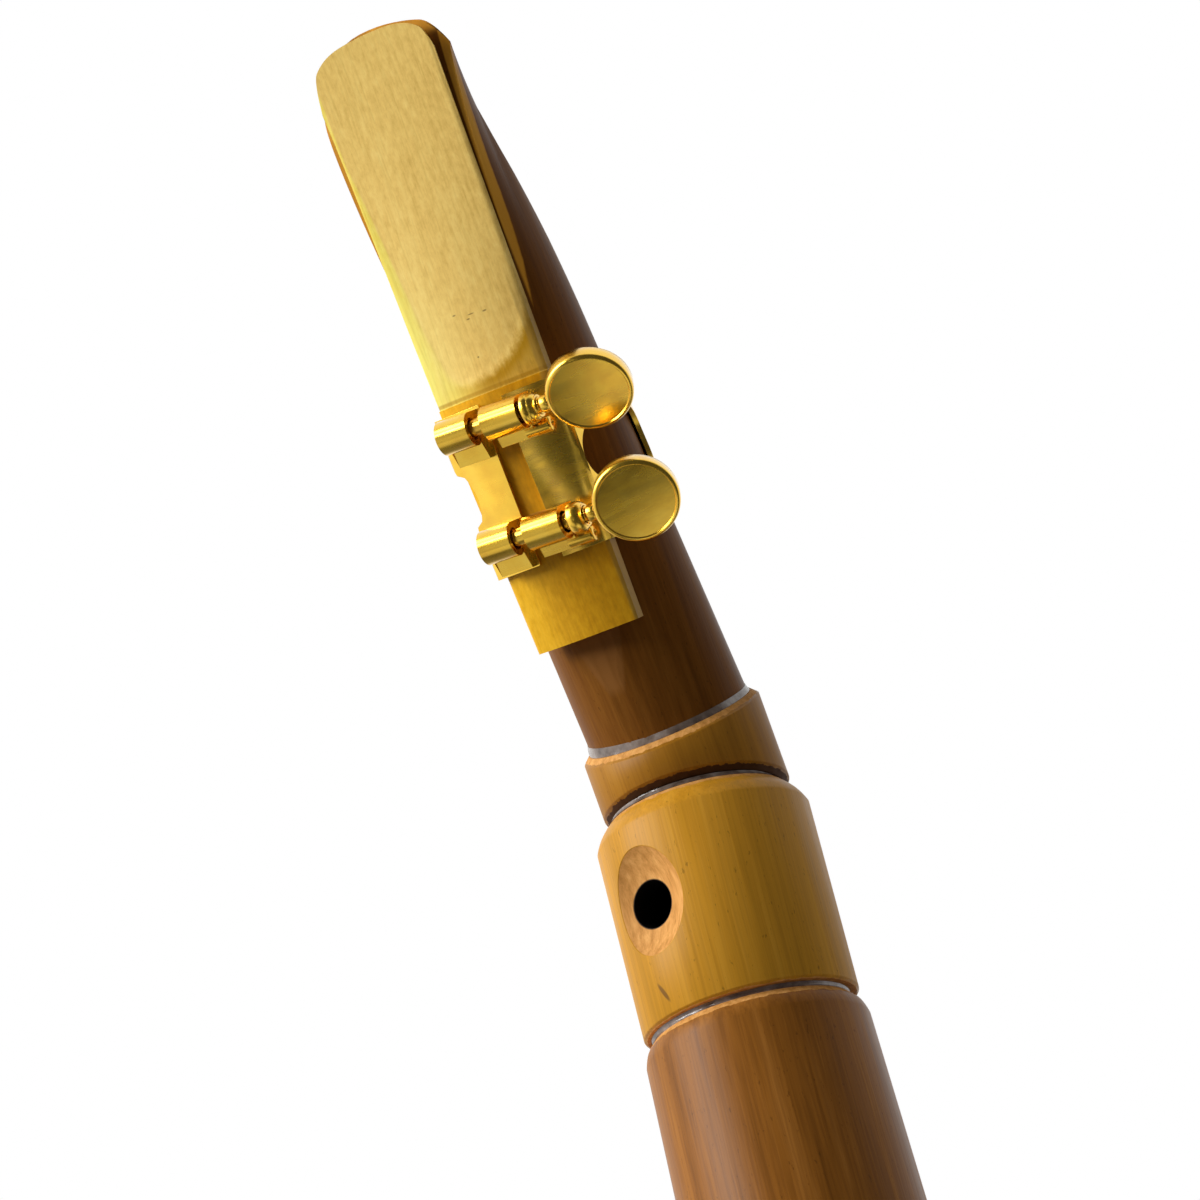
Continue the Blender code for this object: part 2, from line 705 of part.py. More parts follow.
def band_path(along, lift):
    """Points of the band's section round the reed and the tube, this far outside its inner face."""
    half = reed_half_width(along) + GAP + lift
    shelf = REED_SIDE_HEIGHT + GAP + lift
    reach = shank_radius(BAND_LOW) + BAND_STANDOFF + lift
    centre = -axis_below_table(along)
    corner = shelf - BAND_CORNER_DROP
    corner_turn = math.atan2(half, corner - centre)
    touch = corner_turn + math.acos(min(reach / math.hypot(half, corner - centre), 1.0))
    turns = [touch + (2 * math.pi - 2 * touch) * i / BAND_STEPS for i in range(BAND_STEPS + 1)]
    wrap = [(reach * math.sin(turn), centre + reach * math.cos(turn)) for turn in turns]

    def plate(start, end):
        across = [start + (end - start) * share for share in PLATE_SHARES]
        return [(x, reed_top(along, x) + GAP + lift) for x in across] + [(end, corner)]

    return plate(BAND_SLOT_RIGHT, half) + wrap + plate(BAND_SLOT_LEFT, -half)[::-1]


def cut_window(name, table, band, top, start, end):
    """Cut an oval window through one side of the band, up to this height above the table."""
    half_depth = (top - BAND_WINDOW_BOTTOM) / 2
    outline = []
    for i in range(WINDOW_SIDES):
        turn = 2 * math.pi * i / WINDOW_SIDES
        along = BAND_LOW + WINDOW_MID + BAND_WINDOW_HALF_LENGTH * math.cos(turn)
        outline.append((along, top - half_depth + half_depth * math.sin(turn)))
    add_cutter(name, prism(outline, lambda u, v, d: table.point(u, d, v), start, end), band)


def add_band(table, surface):
    """The sprung brass band, slotted in front, with a curved window in each side."""
    rows = []
    for share in (0.0, 0.5, 1.0):
        along = BAND_LOW + BAND_WIDTH * share
        inner = [table.point(along, x, z) for x, z in band_path(along, 0.0)]
        outer = [table.point(along, x, z) for x, z in band_path(along, BAND_SHEET)]
        rows.append((inner, outer))
    builder = loft([inner + outer[::-1] for inner, outer in rows])
    builder.verts.ensure_lookup_table()
    size = len(rows[0][0])
    for row in (0, len(rows) - 1):
        first = row * 2 * size
        last = first + 2 * size - 1
        for i in range(size - 1):
            quad = (first + i, first + i + 1, last - i - 1, last - i)
            builder.faces.new([builder.verts[k] for k in quad])
    band = add_object("ligature_band", surface, builder, origin=table.point(BAND_LOW, 0.0, 0.0))
    reach = 2 * SHANK_RADIUS
    inside = REED_BUTT_HALF_WIDTH * 0.6
    cut_window("right_window", table, band, RIGHT_WINDOW_TOP, inside, reach)
    cut_window("left_window", table, band, LEFT_WINDOW_TOP, -reach, -inside)
    bake(band)
    return band


def screw_height():
    """Height of the screws' axes above the table."""
    return REED_THICKNESS + GAP + BAND_SHEET + SCREW_ABOVE_BAND


def band_outside(along, across):
    """Height of the band's outer face above the table, over the reed."""
    return reed_top(along, across) + GAP + BAND_SHEET


def add_toe(name, table, along, start, target):
    """The low tongue of a right post's foot, which runs on under the screw's collar."""
    root = start - TOE_ROOT
    seat = band_outside(along - FOOT_BUTT_SIDE, root) + GAP
    middle = along - FOOT_BUTT_SIDE + TOE_WIDTH / 2
    outline = [(middle - TOE_WIDTH / 2, root)]
    for i in range(9):
        turn = math.pi * (1 - i / 8)
        outline.append((
            middle + TOE_WIDTH / 2 * math.cos(turn),
            start + TOE_LENGTH + TOE_WIDTH / 2 * (math.sin(turn) - 1),
        ))
    outline.append((middle + TOE_WIDTH / 2, root))
    toe = prism(outline, lambda u, v, d: table.point(u, v, d), seat, seat + TOE_HEIGHT)
    add_cutter(name + "_toe", toe, target, "UNION")


def add_post(name, table, along, start, length, surface):
    """A post soldered to the band: a round barrel on a foot that spreads towards the butt."""
    height = screw_height()
    rows = []
    for step in range(5):
        across = start + length * step / 4
        seat = max(band_outside(along - FOOT_BUTT_SIDE, across), band_outside(along, across)) + GAP
        outline = [(-FOOT_BUTT_SIDE, seat), (-FOOT_BUTT_SIDE, seat + FOOT_EDGE)]
        for i in range(10):
            turn = math.radians(200 - 200 * i / 9)
            outline.append((BARREL_RADIUS * math.cos(turn), height + BARREL_RADIUS * math.sin(turn)))
        outline.append((BARREL_RADIUS, seat))
        rows.append([table.point(along + u, across, v) for u, v in outline])
    post = add_object(name, surface, loft(rows, capped=True), origin=table.point(along, start, height))
    if start >= RIGHT_POST_START:
        add_toe(name, table, along, start + length, post)
    outside = table.point(along, start - CUT_EXTRA, height)
    hole = cylinder(outside, table.side, length + 2 * CUT_EXTRA, SCREW_RADIUS + GAP, 24)
    add_cutter(name + "_hole", hole, post)
    bake(post)
    return post


def add_screw_collar(name, table, along, start, surface):
    """The loose shoulder that the thumb screw presses on the barrel."""
    bore = SCREW_RADIUS + GAP
    long = COLLAR_RING_LENGTH
    size = COLLAR_RING_RADIUS
    profile = [
        (0.0, bore), (0.0, size - 0.15), (0.15, size), (long - 0.6, size), (long - 0.2, size - 0.2),
        (long, size - 0.35), (long, bore),
    ]
    origin = table.point(along, start, screw_height())
    rows = []
    for i in range(28):
        turn = 2 * math.pi * i / 28
        spoke = table.towards_tip * math.cos(turn) + table.out * math.sin(turn)
        rows.append([origin + table.side * reach + spoke * radius for reach, radius in profile])
    return add_object(name, surface, loft(rows, closed_along=True), origin=origin)


def add_thumb_screw(name, table, along, collar_start, disc_angles, surface):
    """The thumb screw: a shaft through both barrels, a neck bead and a flat round disc."""
    origin = table.point(along, collar_start, screw_height())
    shaft_end = LEFT_POST_START + LEFT_POST_LENGTH * 0.2
    collar_end = collar_start + COLLAR_RING_LENGTH + GAP
    neck_end = collar_end + NECK_LENGTH
    slim = SCREW_RADIUS * 0.8
    profile = [
        (shaft_end, SCREW_RADIUS * 0.7), (shaft_end + SCREW_RADIUS * 0.3, SCREW_RADIUS),
        (collar_end, SCREW_RADIUS), (collar_end + NECK_LENGTH * 0.2, slim),
        (collar_end + NECK_LENGTH * 0.5, NECK_BEAD_RADIUS), (neck_end, NECK_BEAD_RADIUS),
        (neck_end + NECK_LENGTH, slim),
    ]
    base = table.point(along, 0.0, screw_height())
    screw = add_object(name, surface, lathe(profile, base, table.side), origin=origin)
    turn, bend = disc_angles
    face = table.out * math.cos(turn) + table.towards_tip * math.sin(turn)
    face = face * math.cos(bend) + table.side * math.sin(bend)
    centre = base + table.side * (neck_end + THUMB_DISC_RADIUS)
    half = THUMB_DISC_THICKNESS / 2
    size = THUMB_DISC_RADIUS
    disc_profile = [(half * depth, size * radius) for depth, radius in DISC_PROFILE]
    disc = lathe(disc_profile, centre, face, DISC_SIDES)
    add_cutter(name + "_disc", disc, screw, "UNION")
    bake(screw)
    return screw


def add_ligature(table, surfaces):
    """The band with its four posts, two collars and two thumb screws."""
    brass = surfaces["brass"]
    add_band(table, brass)
    right_end = RIGHT_POST_START + RIGHT_POST_LENGTH
    for level, along, lift, disc_angles in (
        ("upper", UPPER_SCREW_AT, 0.0, (UPPER_DISC_TURN, UPPER_DISC_BEND)),
        ("lower", LOWER_SCREW_AT, LOWER_COLLAR_LIFT, (LOWER_DISC_TURN, LOWER_DISC_BEND)),
    ):
        row = table.skewed(along)
        add_post(f"{level}_left_post", row, along, LEFT_POST_START, LEFT_POST_LENGTH, brass)
        add_post(f"{level}_right_post", row, along, RIGHT_POST_START, RIGHT_POST_LENGTH, brass)
        start = right_end + GAP + lift
        add_screw_collar(f"{level}_screw_collar", row, along, start, brass)
        screw = f"{level}_thumb_screw"
        add_thumb_screw(screw, row, along, start, disc_angles, surfaces["thumb_screw"])


def build():
    """Model the whole instrument."""
    clear_scene()
    surfaces = {
        "dark_bamboo": material("dark_bamboo", (0.21, 0.12, 0.05), 0.32),
        "olive_bamboo": material("olive_bamboo", (0.38, 0.25, 0.08), 0.3),
        "light_bamboo": material("light_bamboo", (0.45, 0.31, 0.12), 0.3),
        "body_bamboo": material("body_bamboo", (0.30, 0.17, 0.07), 0.32),
        "glue": material("glue", (0.35, 0.33, 0.29), 0.2),
        "cane": material("cane", (0.80, 0.62, 0.28), 0.5),
        "brass": material("brass", (0.83, 0.60, 0.20), 0.24, 1.0),
        "thumb_screw": material("thumb_screw", (0.80, 0.56, 0.17), 0.28, 1.0),
    }
    body = body_tubes()
    collar, neck = neck_tubes(body[0].top)
    table = Table(collar)
    cut_ends(collar, neck, body, table.angle)
    tubes = [collar, neck] + body
    colours = ["olive_bamboo", "light_bamboo"] + ["body_bamboo"] * len(body)
    for tube, colour in zip(tubes, colours):
        target = add_tube(tube, surfaces[colour])
        cut_finger_holes(tube, target)
        if tube.name == "neck_tube":
            cut_thumb_hole(tube, target)
    mouthpiece = add_object("mouthpiece", surfaces["dark_bamboo"], mouthpiece_body(table))
    cut_mouthpiece(table, mouthpiece)
    shank = Tube(
        "shank", table.axis_point, table.angle, BUTT_TO_COLLAR,
        (SHANK_RADIUS, shank_radius(-BUTT_TO_COLLAR)), (SHANK_BORE, SHANK_BORE),
    )
    chain = [shank] + tubes
    for index, (upper, lower) in enumerate(zip(chain, chain[1:]), 1):
        add_glue(f"glue_bead_{index}", upper, lower, surfaces["glue"])
    add_reed(table, surfaces["cane"])
    add_ligature(table, surfaces)


build()
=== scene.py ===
"""Looks of the bamboo saxophone: camera, light, fine pieces and the finish of every surface.

Sizes are in millimetres unless a name says otherwise, and MM turns them into metres.
"""

import json
import math

import bmesh
import bpy
from mathutils import Matrix, Vector, noise


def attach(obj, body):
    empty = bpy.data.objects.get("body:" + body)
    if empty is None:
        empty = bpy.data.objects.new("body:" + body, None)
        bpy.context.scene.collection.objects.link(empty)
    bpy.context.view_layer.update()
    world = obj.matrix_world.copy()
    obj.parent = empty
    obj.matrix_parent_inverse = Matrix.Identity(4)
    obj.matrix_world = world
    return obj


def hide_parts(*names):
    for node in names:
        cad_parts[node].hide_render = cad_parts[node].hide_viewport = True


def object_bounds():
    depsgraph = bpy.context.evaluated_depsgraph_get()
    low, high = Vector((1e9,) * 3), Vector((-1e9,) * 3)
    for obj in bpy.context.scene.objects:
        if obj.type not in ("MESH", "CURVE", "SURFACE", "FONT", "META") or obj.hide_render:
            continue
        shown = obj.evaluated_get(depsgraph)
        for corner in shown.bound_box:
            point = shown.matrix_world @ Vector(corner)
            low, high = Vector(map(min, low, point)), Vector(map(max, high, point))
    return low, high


MM = 0.001

# Camera, in the part's frame, in metres
CAMERA_PLACE = Vector((0.170998, -0.499102, 0.059594))
CAMERA_RIGHT = Vector((0.888565, 0.395392, -0.232630))
CAMERA_UP = Vector((0.346689, -0.246677, 0.904963))
CAMERA_BACK = Vector((0.300430, -0.884769, -0.356267))
LENS = 150.0
SENSOR = 36.0

# How far each part of the neck and each tube of the bow turns from straight down
COLLAR_BEND = math.radians(16.9)
MOUTHPIECE_BEND = math.radians(28.1)
BOW_BEND = math.radians(29.0)

# The reed's table on the mouthpiece
TABLE_INCLINE = math.radians(4.8)
REED_TURN = math.radians(7.5)
TABLE_ABOVE_AXIS = 9.37
SHANK_RADIUS = 9.62
SHANK_TAPER = 0.008
BUTT_TO_COLLAR = 13.5
JOINT_GAP = 0.7

# Reed
REED_LENGTH = 72.5
REED_TIP_HALF_WIDTH = 7.9
REED_BUTT_HALF_WIDTH = 6.6
REED_LEFT_EXTRA = 0.3
REED_THICKNESS = 3.0
REED_SIDE_HEIGHT = 1.65
REED_TIP_THICKNESS = 0.25
REED_TIP_ARC = 2.5
REED_TIP_TILT = 0.06
REED_TIP_CORNER = 2.2
FILE_LINE = 29.8
FILE_STEP = 0.3
SCRAPE_START = 31.5
SCRAPE_POWER = 1.55
SCRAPE_STEP = 0.1
VAMP_MIDDLE = -1.5
VAMP_APEX = 31.4
VAMP_DEPTH = 10.0
VAMP_LEFT = (4.1, 3.0)
VAMP_RIGHT = (9.3, 2.2)
REED_ROWS = 170
REED_COLUMNS = 56

# Mouthpiece
TIP_OVERHANG = 0.5
TIP_OPENING = 1.7
SEAT_GAP = 0.3
TABLE_GAP = 0.12
FACING_LENGTH = 24.0
BEAK_LENGTH = 42.0
BEAK_TIP_DEPTH = 1.1
BEAK_SIDE_RISE = 1.2
RAIL_START = 32.0
RAIL_END = 76.0
RAIL_EXTRA = 0.1
RAIL_LEFT_EXTRA = 0.65
RAIL_DEPTH = 1.25
NARROW_SHARE = 0.15
NARROW_AT_TOP = 0.0
NARROW_START = 34.0
NARROW_END = 70.0
TIP_CORNER = 6.1
TIP_CORNER_FALL = 0.28
TIP_LEFT_FALL = 0.022
SHANK_BORE = 5.7
WINDOW_LENGTH = 34.0
WINDOW_HALF_WIDTH = 5.6
WINDOW_DEPTH = 5.6

# Ligature band
BAND_LOW = 9.5
BAND_WIDTH = 19.4
BAND_SHEET = 0.55
BAND_STANDOFF = 0.25
BAND_CORNER_DROP = 0.15
SLOT_LEFT = -1.37
SLOT_RIGHT = 1.72
WINDOW_MID = 19.1
WINDOW_BOTTOM = -12.2

# Each side's window: height of its top, half its length and how square it is
WINDOWS = {-1: (2.80, 9.4, 2.1), 1: (2.0, 4.9, 2.0)}
WINDOW_LONGEST = 6.6

# Slight twist of the right plate between the posts
PLATE_TWIST = 0.022
PLATE_TWIST_REACH = 6.5

# Posts, collars and thumb screws
SCREW_HEIGHT = 6.3
BARREL_RADIUS = 1.98
FOOT_LENGTH = 3.75
FOOT_TOP = -1.75
RIGHT_FOOT_LESS = 0.6
RAMP_TURN = 214.0
LEFT_POST = (-5.8, 4.0)
RIGHT_POST = (0.0, 4.7)
SCREW_RADIUS = 1.0
LOWER_COLLAR_LIFT = 0.5
COLLAR_LENGTH = 1.9
DISC_RADIUS = 4.95
DISC_THICKNESS = 2.2
DISC_SUNK = 0.18
DISC_DOME = 0.15

# Neck tubes
NECK_TOP = Vector((0.0, 19.836, 240.3))
NECK_LENGTH = 26.3
NECK_RADIUS = 12.55
NECK_BORE = 8.2
COLLAR_SHIFT = 0.85
COLLAR_HEIGHT = 10.8
COLLAR_RADIUS = 10.9
COLLAR_BORE = 6.6
WEDGE_SLANT = math.radians(0.6)
THUMB_HOLE = (12.3, -23.5, 2.75, 9.8, 2.4)
THUMB_HOLE_SHIFT = 0.8

# Body tubes, from the neck down: name, length, outer radius at the top
CONE = 0.028
BODY_TUBES = (
    ("upper_body", 152.0, 13.05),
    ("middle_body", 150.0, 18.1),
    ("lower_body", 92.0, 23.1),
    ("bow_tube_1", 35.0, 26.6),
    ("bow_tube_2", 35.0, 28.2),
    ("bow_tube_3", 35.0, 29.8),
    ("bell_stem", 44.0, 31.4),
    ("bell", 60.0, 33.4),
)
STRAIGHT_TUBES = 3
WALL_AT_NECK = 4.4
WALL_AT_BELL = 5.6
BELL_FLARE = 4.0
BELL_FLARE_LENGTH = 22.0
BELL_EDGE = 0.5
NODE_SWELL = 0.8
NODE_HALF_LENGTH = 5.0
BODY_NODES = {"middle_body": 0.93, "lower_body": 0.55}

# Finger holes of each body tube: distance below its top, turn about the axis, radius
FINGER_HOLES = {
    "upper_body": ((44.0, 0.0, 4.2), (75.0, 0.0, 4.6), (108.0, 0.0, 4.4)),
    "middle_body": ((30.0, 0.0, 5.0), (62.0, 0.0, 5.4), (94.0, 0.0, 5.2)),
    "lower_body": ((22.0, 24.0, 4.6),),
}
FINGER_DISH_SCALE = 2.6
FINGER_DISH_DEPTH = 1.3

# Glue in the grooves: how far it sinks under the rims on the right side
GLUE_RECESS = 0.3
GLUE_CLIMB = 0.5
GLUE_HOLLOW = 0.12
GLUE_CLEARANCE = 0.03
TUBE_SIDES = 144

# Rims of the tubes
RIM_BEVEL = 0.8
LOWER_BEVEL = 0.15
RIM_ROUND = 0.2


def heading(angle):
    """Direction down the bore of a tube that leans this far to the front."""
    return Vector((0.0, math.sin(angle), -math.cos(angle)))


class Table:
    """Places on the reed's table, from its butt: towards the tip, to the side and outwards."""

    def __init__(self, reed_node):
        down = heading(MOUTHPIECE_BEND)
        turned = Matrix.Rotation(REED_TURN, 3, down)
        facing_out = turned @ Vector((0.0, -math.cos(MOUTHPIECE_BEND), -math.sin(MOUTHPIECE_BEND)))
        self.down = down
        self.side = turned @ Vector((1.0, 0.0, 0.0))
        self.tip = -(down * math.cos(TABLE_INCLINE) + facing_out * math.sin(TABLE_INCLINE))
        self.out = facing_out * math.cos(TABLE_INCLINE) - down * math.sin(TABLE_INCLINE)
        corners = [vertex.co for vertex in reed_node.data.vertices]
        along = min(corner.dot(self.tip) for corner in corners)
        above = min(corner.dot(self.out) for corner in corners)
        butt = [corner for corner in corners if corner.dot(self.tip) < along + 0.1 * MM]
        across = [corner.dot(self.side) for corner in butt]
        middle = (min(across) + max(across)) / 2
        self.butt = self.tip * along + self.side * middle + self.out * above

    def place(self, along, across, above):
        """World point, in metres."""
        return self.butt + (self.tip * along + self.side * across + self.out * above) * MM

    def turn(self):
        """Rotation that brings world directions to side, inwards and towards the tip."""
        return Matrix((self.side, -self.out, self.tip)).to_euler()


class Row:
    """Places along one screw: towards the tip and outwards from its axis, and along the axis."""

    def __init__(self, table, hinge):
        self.side = Vector(hinge["axis"]).normalized()
        self.out = (table.out - self.side * table.out.dot(self.side)).normalized()
        self.tip = self.side.cross(self.out)
        if self.tip.dot(table.tip) < 0.0:
            self.tip = -self.tip
        start = Vector(hinge["pos_m"])
        self.along = (start - table.butt).dot(table.tip) / MM
        across = (start - table.butt).dot(table.side)
        self.base = start - self.side * across

    def place(self, along, across, above):
        """World point, in metres, from the screw's axis."""
        return self.base + (self.tip * along + self.side * across + self.out * above) * MM


class Nodes:
    """A short way to add and join shader nodes."""

    def __init__(self, tree):
        self.tree = tree

    def add(self, kind, values=None, **settings):
        node = self.tree.nodes.new(kind)
        for key, value in settings.items():
            setattr(node, key, value)
        for key, value in (values or {}).items():
            if hasattr(value, "is_output"):
                self.tree.links.new(value, node.inputs[key])
            else:
                node.inputs[key].default_value = value
        return node

    def math(self, operation, first, second=0.5, third=0.5, clamp=False):
        values = {0: first, 1: second, 2: third}
        return self.add("ShaderNodeMath", values, operation=operation, use_clamp=clamp).outputs[0]

    def vector(self, operation, first, second):
        return self.add("ShaderNodeVectorMath", {0: first, 1: second}, operation=operation)

    def length(self, first, second):
        squares = self.math("ADD", self.math("POWER", first, 2.0), self.math("POWER", second, 2.0))
        return self.math("SQRT", squares)

    def noise(self, vector, scale, detail=3.0, roughness=0.5, distortion=0.0):
        values = {
            "Vector": vector, "Scale": scale, "Detail": detail,
            "Roughness": roughness, "Distortion": distortion,
        }
        return self.add("ShaderNodeTexNoise", values).outputs["Fac"]

    def stretch(self, vector, scale):
        return self.add("ShaderNodeMapping", {"Vector": vector, "Scale": scale}).outputs[0]

    def fade(self, value, low, high, start=0.0, end=1.0, kind="SMOOTHSTEP"):
        values = {"Value": value, "From Min": low, "From Max": high, "To Min": start, "To Max": end}
        return self.add("ShaderNodeMapRange", values, interpolation_type=kind).outputs[0]

    def ramp(self, value, stops):
        node = self.add("ShaderNodeValToRGB", {"Fac": value})
        elements = node.color_ramp.elements
        while len(elements) < len(stops):
            elements.new(0.5)
        for element, (place, colour) in zip(elements, stops):
            element.position = place
            element.color = (*colour, 1.0)
        return node.outputs[0]

    def mix(self, share, first, second, blend="MIX"):
        node = self.add("ShaderNodeMix", data_type="RGBA", blend_type=blend)
        for key, value in ((0, share), (6, first), (7, second)):
            if hasattr(value, "is_output"):
                self.tree.links.new(value, node.inputs[key])
            else:
                node.inputs[key].default_value = (*value, 1.0) if key else value
        return node.outputs[2]

    def wire(self, shader, **sockets):
        """Join sockets of a shader by name, with spaces written as underscores."""
        for key, value in sockets.items():
            name = key.replace("_", " ")
            if hasattr(value, "is_output"):
                self.tree.links.new(value, shader.inputs[name])
            else:
                shader.inputs[name].default_value = value


def new_surface(name):
    """An empty material with its Principled BSDF and a node helper."""
    surface = bpy.data.materials.new(name)
    surface.use_nodes = True
    shader = surface.node_tree.nodes["Principled BSDF"]
    return surface, shader, Nodes(surface.node_tree)


def tube_place(nodes, down, origin):
    """Coordinates in metres with the origin on a tube's axis and Z up along it."""
    place = nodes.add("ShaderNodeTexCoord").outputs["Object"]
    turn = down.rotation_difference(Vector((0.0, 0.0, -1.0)))
    shifted = nodes.vector("SUBTRACT", place, origin).outputs[0]
    return nodes.add("ShaderNodeMapping", {"Vector": shifted, "Rotation": turn.to_euler()}).outputs[0]


def table_place(nodes, table):
    """Coordinates in metres on the reed's table: X to the side, Y inwards, Z towards the tip."""
    place = nodes.add("ShaderNodeTexCoord").outputs["Object"]
    shifted = nodes.vector("SUBTRACT", place, table.butt).outputs[0]
    return nodes.add("ShaderNodeMapping", {"Vector": shifted, "Rotation": table.turn()}).outputs[0]


def wood_grain(nodes, place, colours, contrast, fibre_depth, seed):
    """Colour and height of bamboo along Z: soft wide tones, thin streaks and very fine fibres."""
    place = nodes.vector("ADD", place, (seed, seed, seed)).outputs[0]
    fibres = nodes.noise(nodes.stretch(place, (1.0, 1.0, 0.012)), 3600.0, 2.0, 0.6)
    threads = nodes.noise(nodes.stretch(place, (1.0, 1.0, 0.02)), 1300.0, 3.0, 0.6)
    streaks = nodes.noise(nodes.stretch(place, (1.0, 1.0, 0.045)), 330.0, 3.0, 0.6, 0.1)
    clouds = nodes.noise(nodes.stretch(place, (1.0, 1.0, 0.25)), 70.0, 4.0, 0.6)
    specks = nodes.noise(nodes.stretch(place, (1.0, 1.0, 0.35)), 2600.0, 2.0, 0.7)
    tone = nodes.math("MULTIPLY_ADD", streaks, 0.45, nodes.math("MULTIPLY", clouds, 0.35))
    tone = nodes.math("MULTIPLY_ADD", threads, 0.2, tone)
    spread = 0.16 / contrast
    dark, middle, light = colours
    colour = nodes.ramp(tone, ((0.5 - spread, dark), (0.5, middle), (0.5 + spread, light)))
    low = 1.0 - fibre_depth
    fine = nodes.ramp(fibres, ((0.35, (low, low * 0.98, low * 0.95)), (0.6, (1.0, 1.0, 1.0))))
    colour = nodes.mix(1.0, colour, fine, "MULTIPLY")
    fleck = nodes.fade(specks, 0.26, 0.36, 0.5, 0.0)
    colour = nodes.mix(fleck, colour, tuple(c * 0.4 for c in dark))
    height = nodes.math("MULTIPLY_ADD", fibres, 0.5, nodes.math("MULTIPLY", threads, 0.5))
    return colour, height, streaks


def raw_wood(nodes, place):
    """Cut bamboo: pale orange with fine dark grain."""
    speck = nodes.noise(nodes.stretch(place, (1.0, 1.0, 0.12)), 1400.0, 4.0, 0.7)
    return nodes.ramp(speck, tuple(zip((0.3, 0.5, 0.7), RAW_WOOD)))


def bamboo(tube, colours, contrast=1.0, fibre_depth=0.12, seed=0.0):
    """Oiled bamboo: satin skin, raw wood where it is cut, near-black painted shade inside its drilled holes and
    painted shade on the collar's lower bevel.
    """
    surface, shader, nodes = new_surface(tube.name + "_bamboo")
    place = tube_place(nodes, heading(tube.angle), tube.top * MM)
    colour, height, streaks = wood_grain(nodes, place, colours, contrast, fibre_depth, seed)
    up = nodes.add("ShaderNodeSeparateXYZ", {0: place}).outputs[2]
    flat = nodes.vector("MULTIPLY", place, (1.0, 1.0, 0.0)).outputs[0]
    radius = nodes.add("ShaderNodeVectorMath", {0: flat}, operation="LENGTH").outputs["Value"]
    low, high = tube.radii[1] * MM, tube.radii[0] * MM
    skin = nodes.fade(up, -tube.length * MM, 0.0, low, high, "LINEAR")
    depth = nodes.math("SUBTRACT", skin, radius)
    ragged = nodes.math("MULTIPLY_ADD", nodes.noise(place, 800.0, 4.0, 0.7), 0.6 * MM, depth)
    local = nodes.add("ShaderNodeTexCoord").outputs["Object"]
    from_top = nodes.vector("SUBTRACT", local, tube.top * MM).outputs[0]
    sunk = nodes.vector("DOT_PRODUCT", from_top, heading(tube.cuts[0])).outputs["Value"]
    upper = nodes.math("LESS_THAN", sunk, 4.0 * MM)
    rise = nodes.math("MULTIPLY", upper, (tube.shoulder[0] - RIM_ROUND) * MM)
    edge = nodes.math("SUBTRACT", ragged, nodes.math("ADD", rise, (RIM_ROUND + 0.36) * MM))
    cut = nodes.fade(edge, 0.0, 0.06 * MM)
    bare = raw_wood(nodes, place)
    # Painted shade: the collar's downward lower bevel is coloured dark brown where it falls into shadow above the
    # joint.
    if tube.shade_painted_on_lower_bevel:
        from_end = nodes.vector("SUBTRACT", local, tube.at(tube.length) * MM).outputs[0]
        left = nodes.vector("DOT_PRODUCT", from_end, heading(tube.cuts[1])).outputs["Value"]
        lower = nodes.math("GREATER_THAN", left, -2.0 * MM)
        bare = nodes.mix(lower, bare, BEVEL_PAINTED_SHADE)
    for hole in tube.holes:
        centre = tube.at(hole.below) * MM
        shifted = nodes.vector("SUBTRACT", local, centre).outputs[0]
        aside = nodes.vector("DOT_PRODUCT", shifted, hole.aside).outputs["Value"]
        along = nodes.vector("DOT_PRODUCT", shifted, heading(tube.angle)).outputs["Value"]
        away = nodes.length(aside, along)
        dish = nodes.fade(depth, 0.04 * MM, 0.10 * MM)
        wide = 1.3 * hole.outline()
        near = nodes.fade(away, wide * MM, 0.9 * wide * MM)
        cut = nodes.math("MAXIMUM", cut, nodes.math("MULTIPLY", dish, near))
        # Painted shade: the hole's wall and the bore of a tube with holes are coloured near black, where little light
        # reaches.
        away = nodes.length(nodes.math("SUBTRACT", aside, hole.shift * MM), along)
        bore = nodes.fade(away, (hole.radius + 0.2) * MM, (hole.radius + 0.02) * MM)
        bore = nodes.math("MULTIPLY", bore, nodes.fade(depth, 0.2 * MM, 0.4 * MM))
        deep = nodes.fade(radius, (tube.bores[0] + 0.6) * MM, (tube.bores[0] + 0.3) * MM)
        bare = nodes.mix(nodes.math("MAXIMUM", bore, deep), bare, (0.003, 0.0025, 0.002))
    colour = nodes.mix(cut, colour, bare)
    for ends, half_width in SCRATCHES.get(tube.name, ()):
        colour = scratch(nodes, local, tube, ends, half_width, colour)
    bump = nodes.add("ShaderNodeBump", {"Height": height, "Strength": 0.25, "Distance": 0.1 * MM})
    rough = nodes.math("MAXIMUM", nodes.fade(streaks, 0.3, 0.7, 0.34, 0.46), nodes.math("MULTIPLY", cut, 0.65))
    nodes.wire(shader, Base_Color=colour, Roughness=rough, Normal=bump.outputs[0], Specular_IOR_Level=0.15)
    return surface


def scratch(nodes, local, tube, ends, half_width, colour):
    """A dark scratch on a tube's skin between two places, each a turn from the back and a distance down."""
    spots = []
    for turn, below in ends:
        turn = math.radians(turn)
        out = Vector((math.sin(turn), -math.cos(turn), 0.0))
        spots.append((tube.at(below) + out * tube.radius(below)) * MM)
    middle = (spots[0] + spots[1]) / 2
    way = (spots[1] - spots[0]).normalized()
    half_length = (spots[1] - spots[0]).length / 2
    shifted = nodes.vector("SUBTRACT", local, middle).outputs[0]
    reach = nodes.vector("DOT_PRODUCT", shifted, way).outputs["Value"]
    aside = nodes.vector("CROSS_PRODUCT", shifted, way).outputs[0]
    aside = nodes.add("ShaderNodeVectorMath", {0: aside}, operation="LENGTH").outputs["Value"]
    away = nodes.length(nodes.math("DIVIDE", reach, half_length), nodes.math("DIVIDE", aside, half_width * MM))
    return nodes.mix(nodes.fade(away, 1.0, 0.5, 0.0, 0.75), colour, (0.13, 0.055, 0.012))


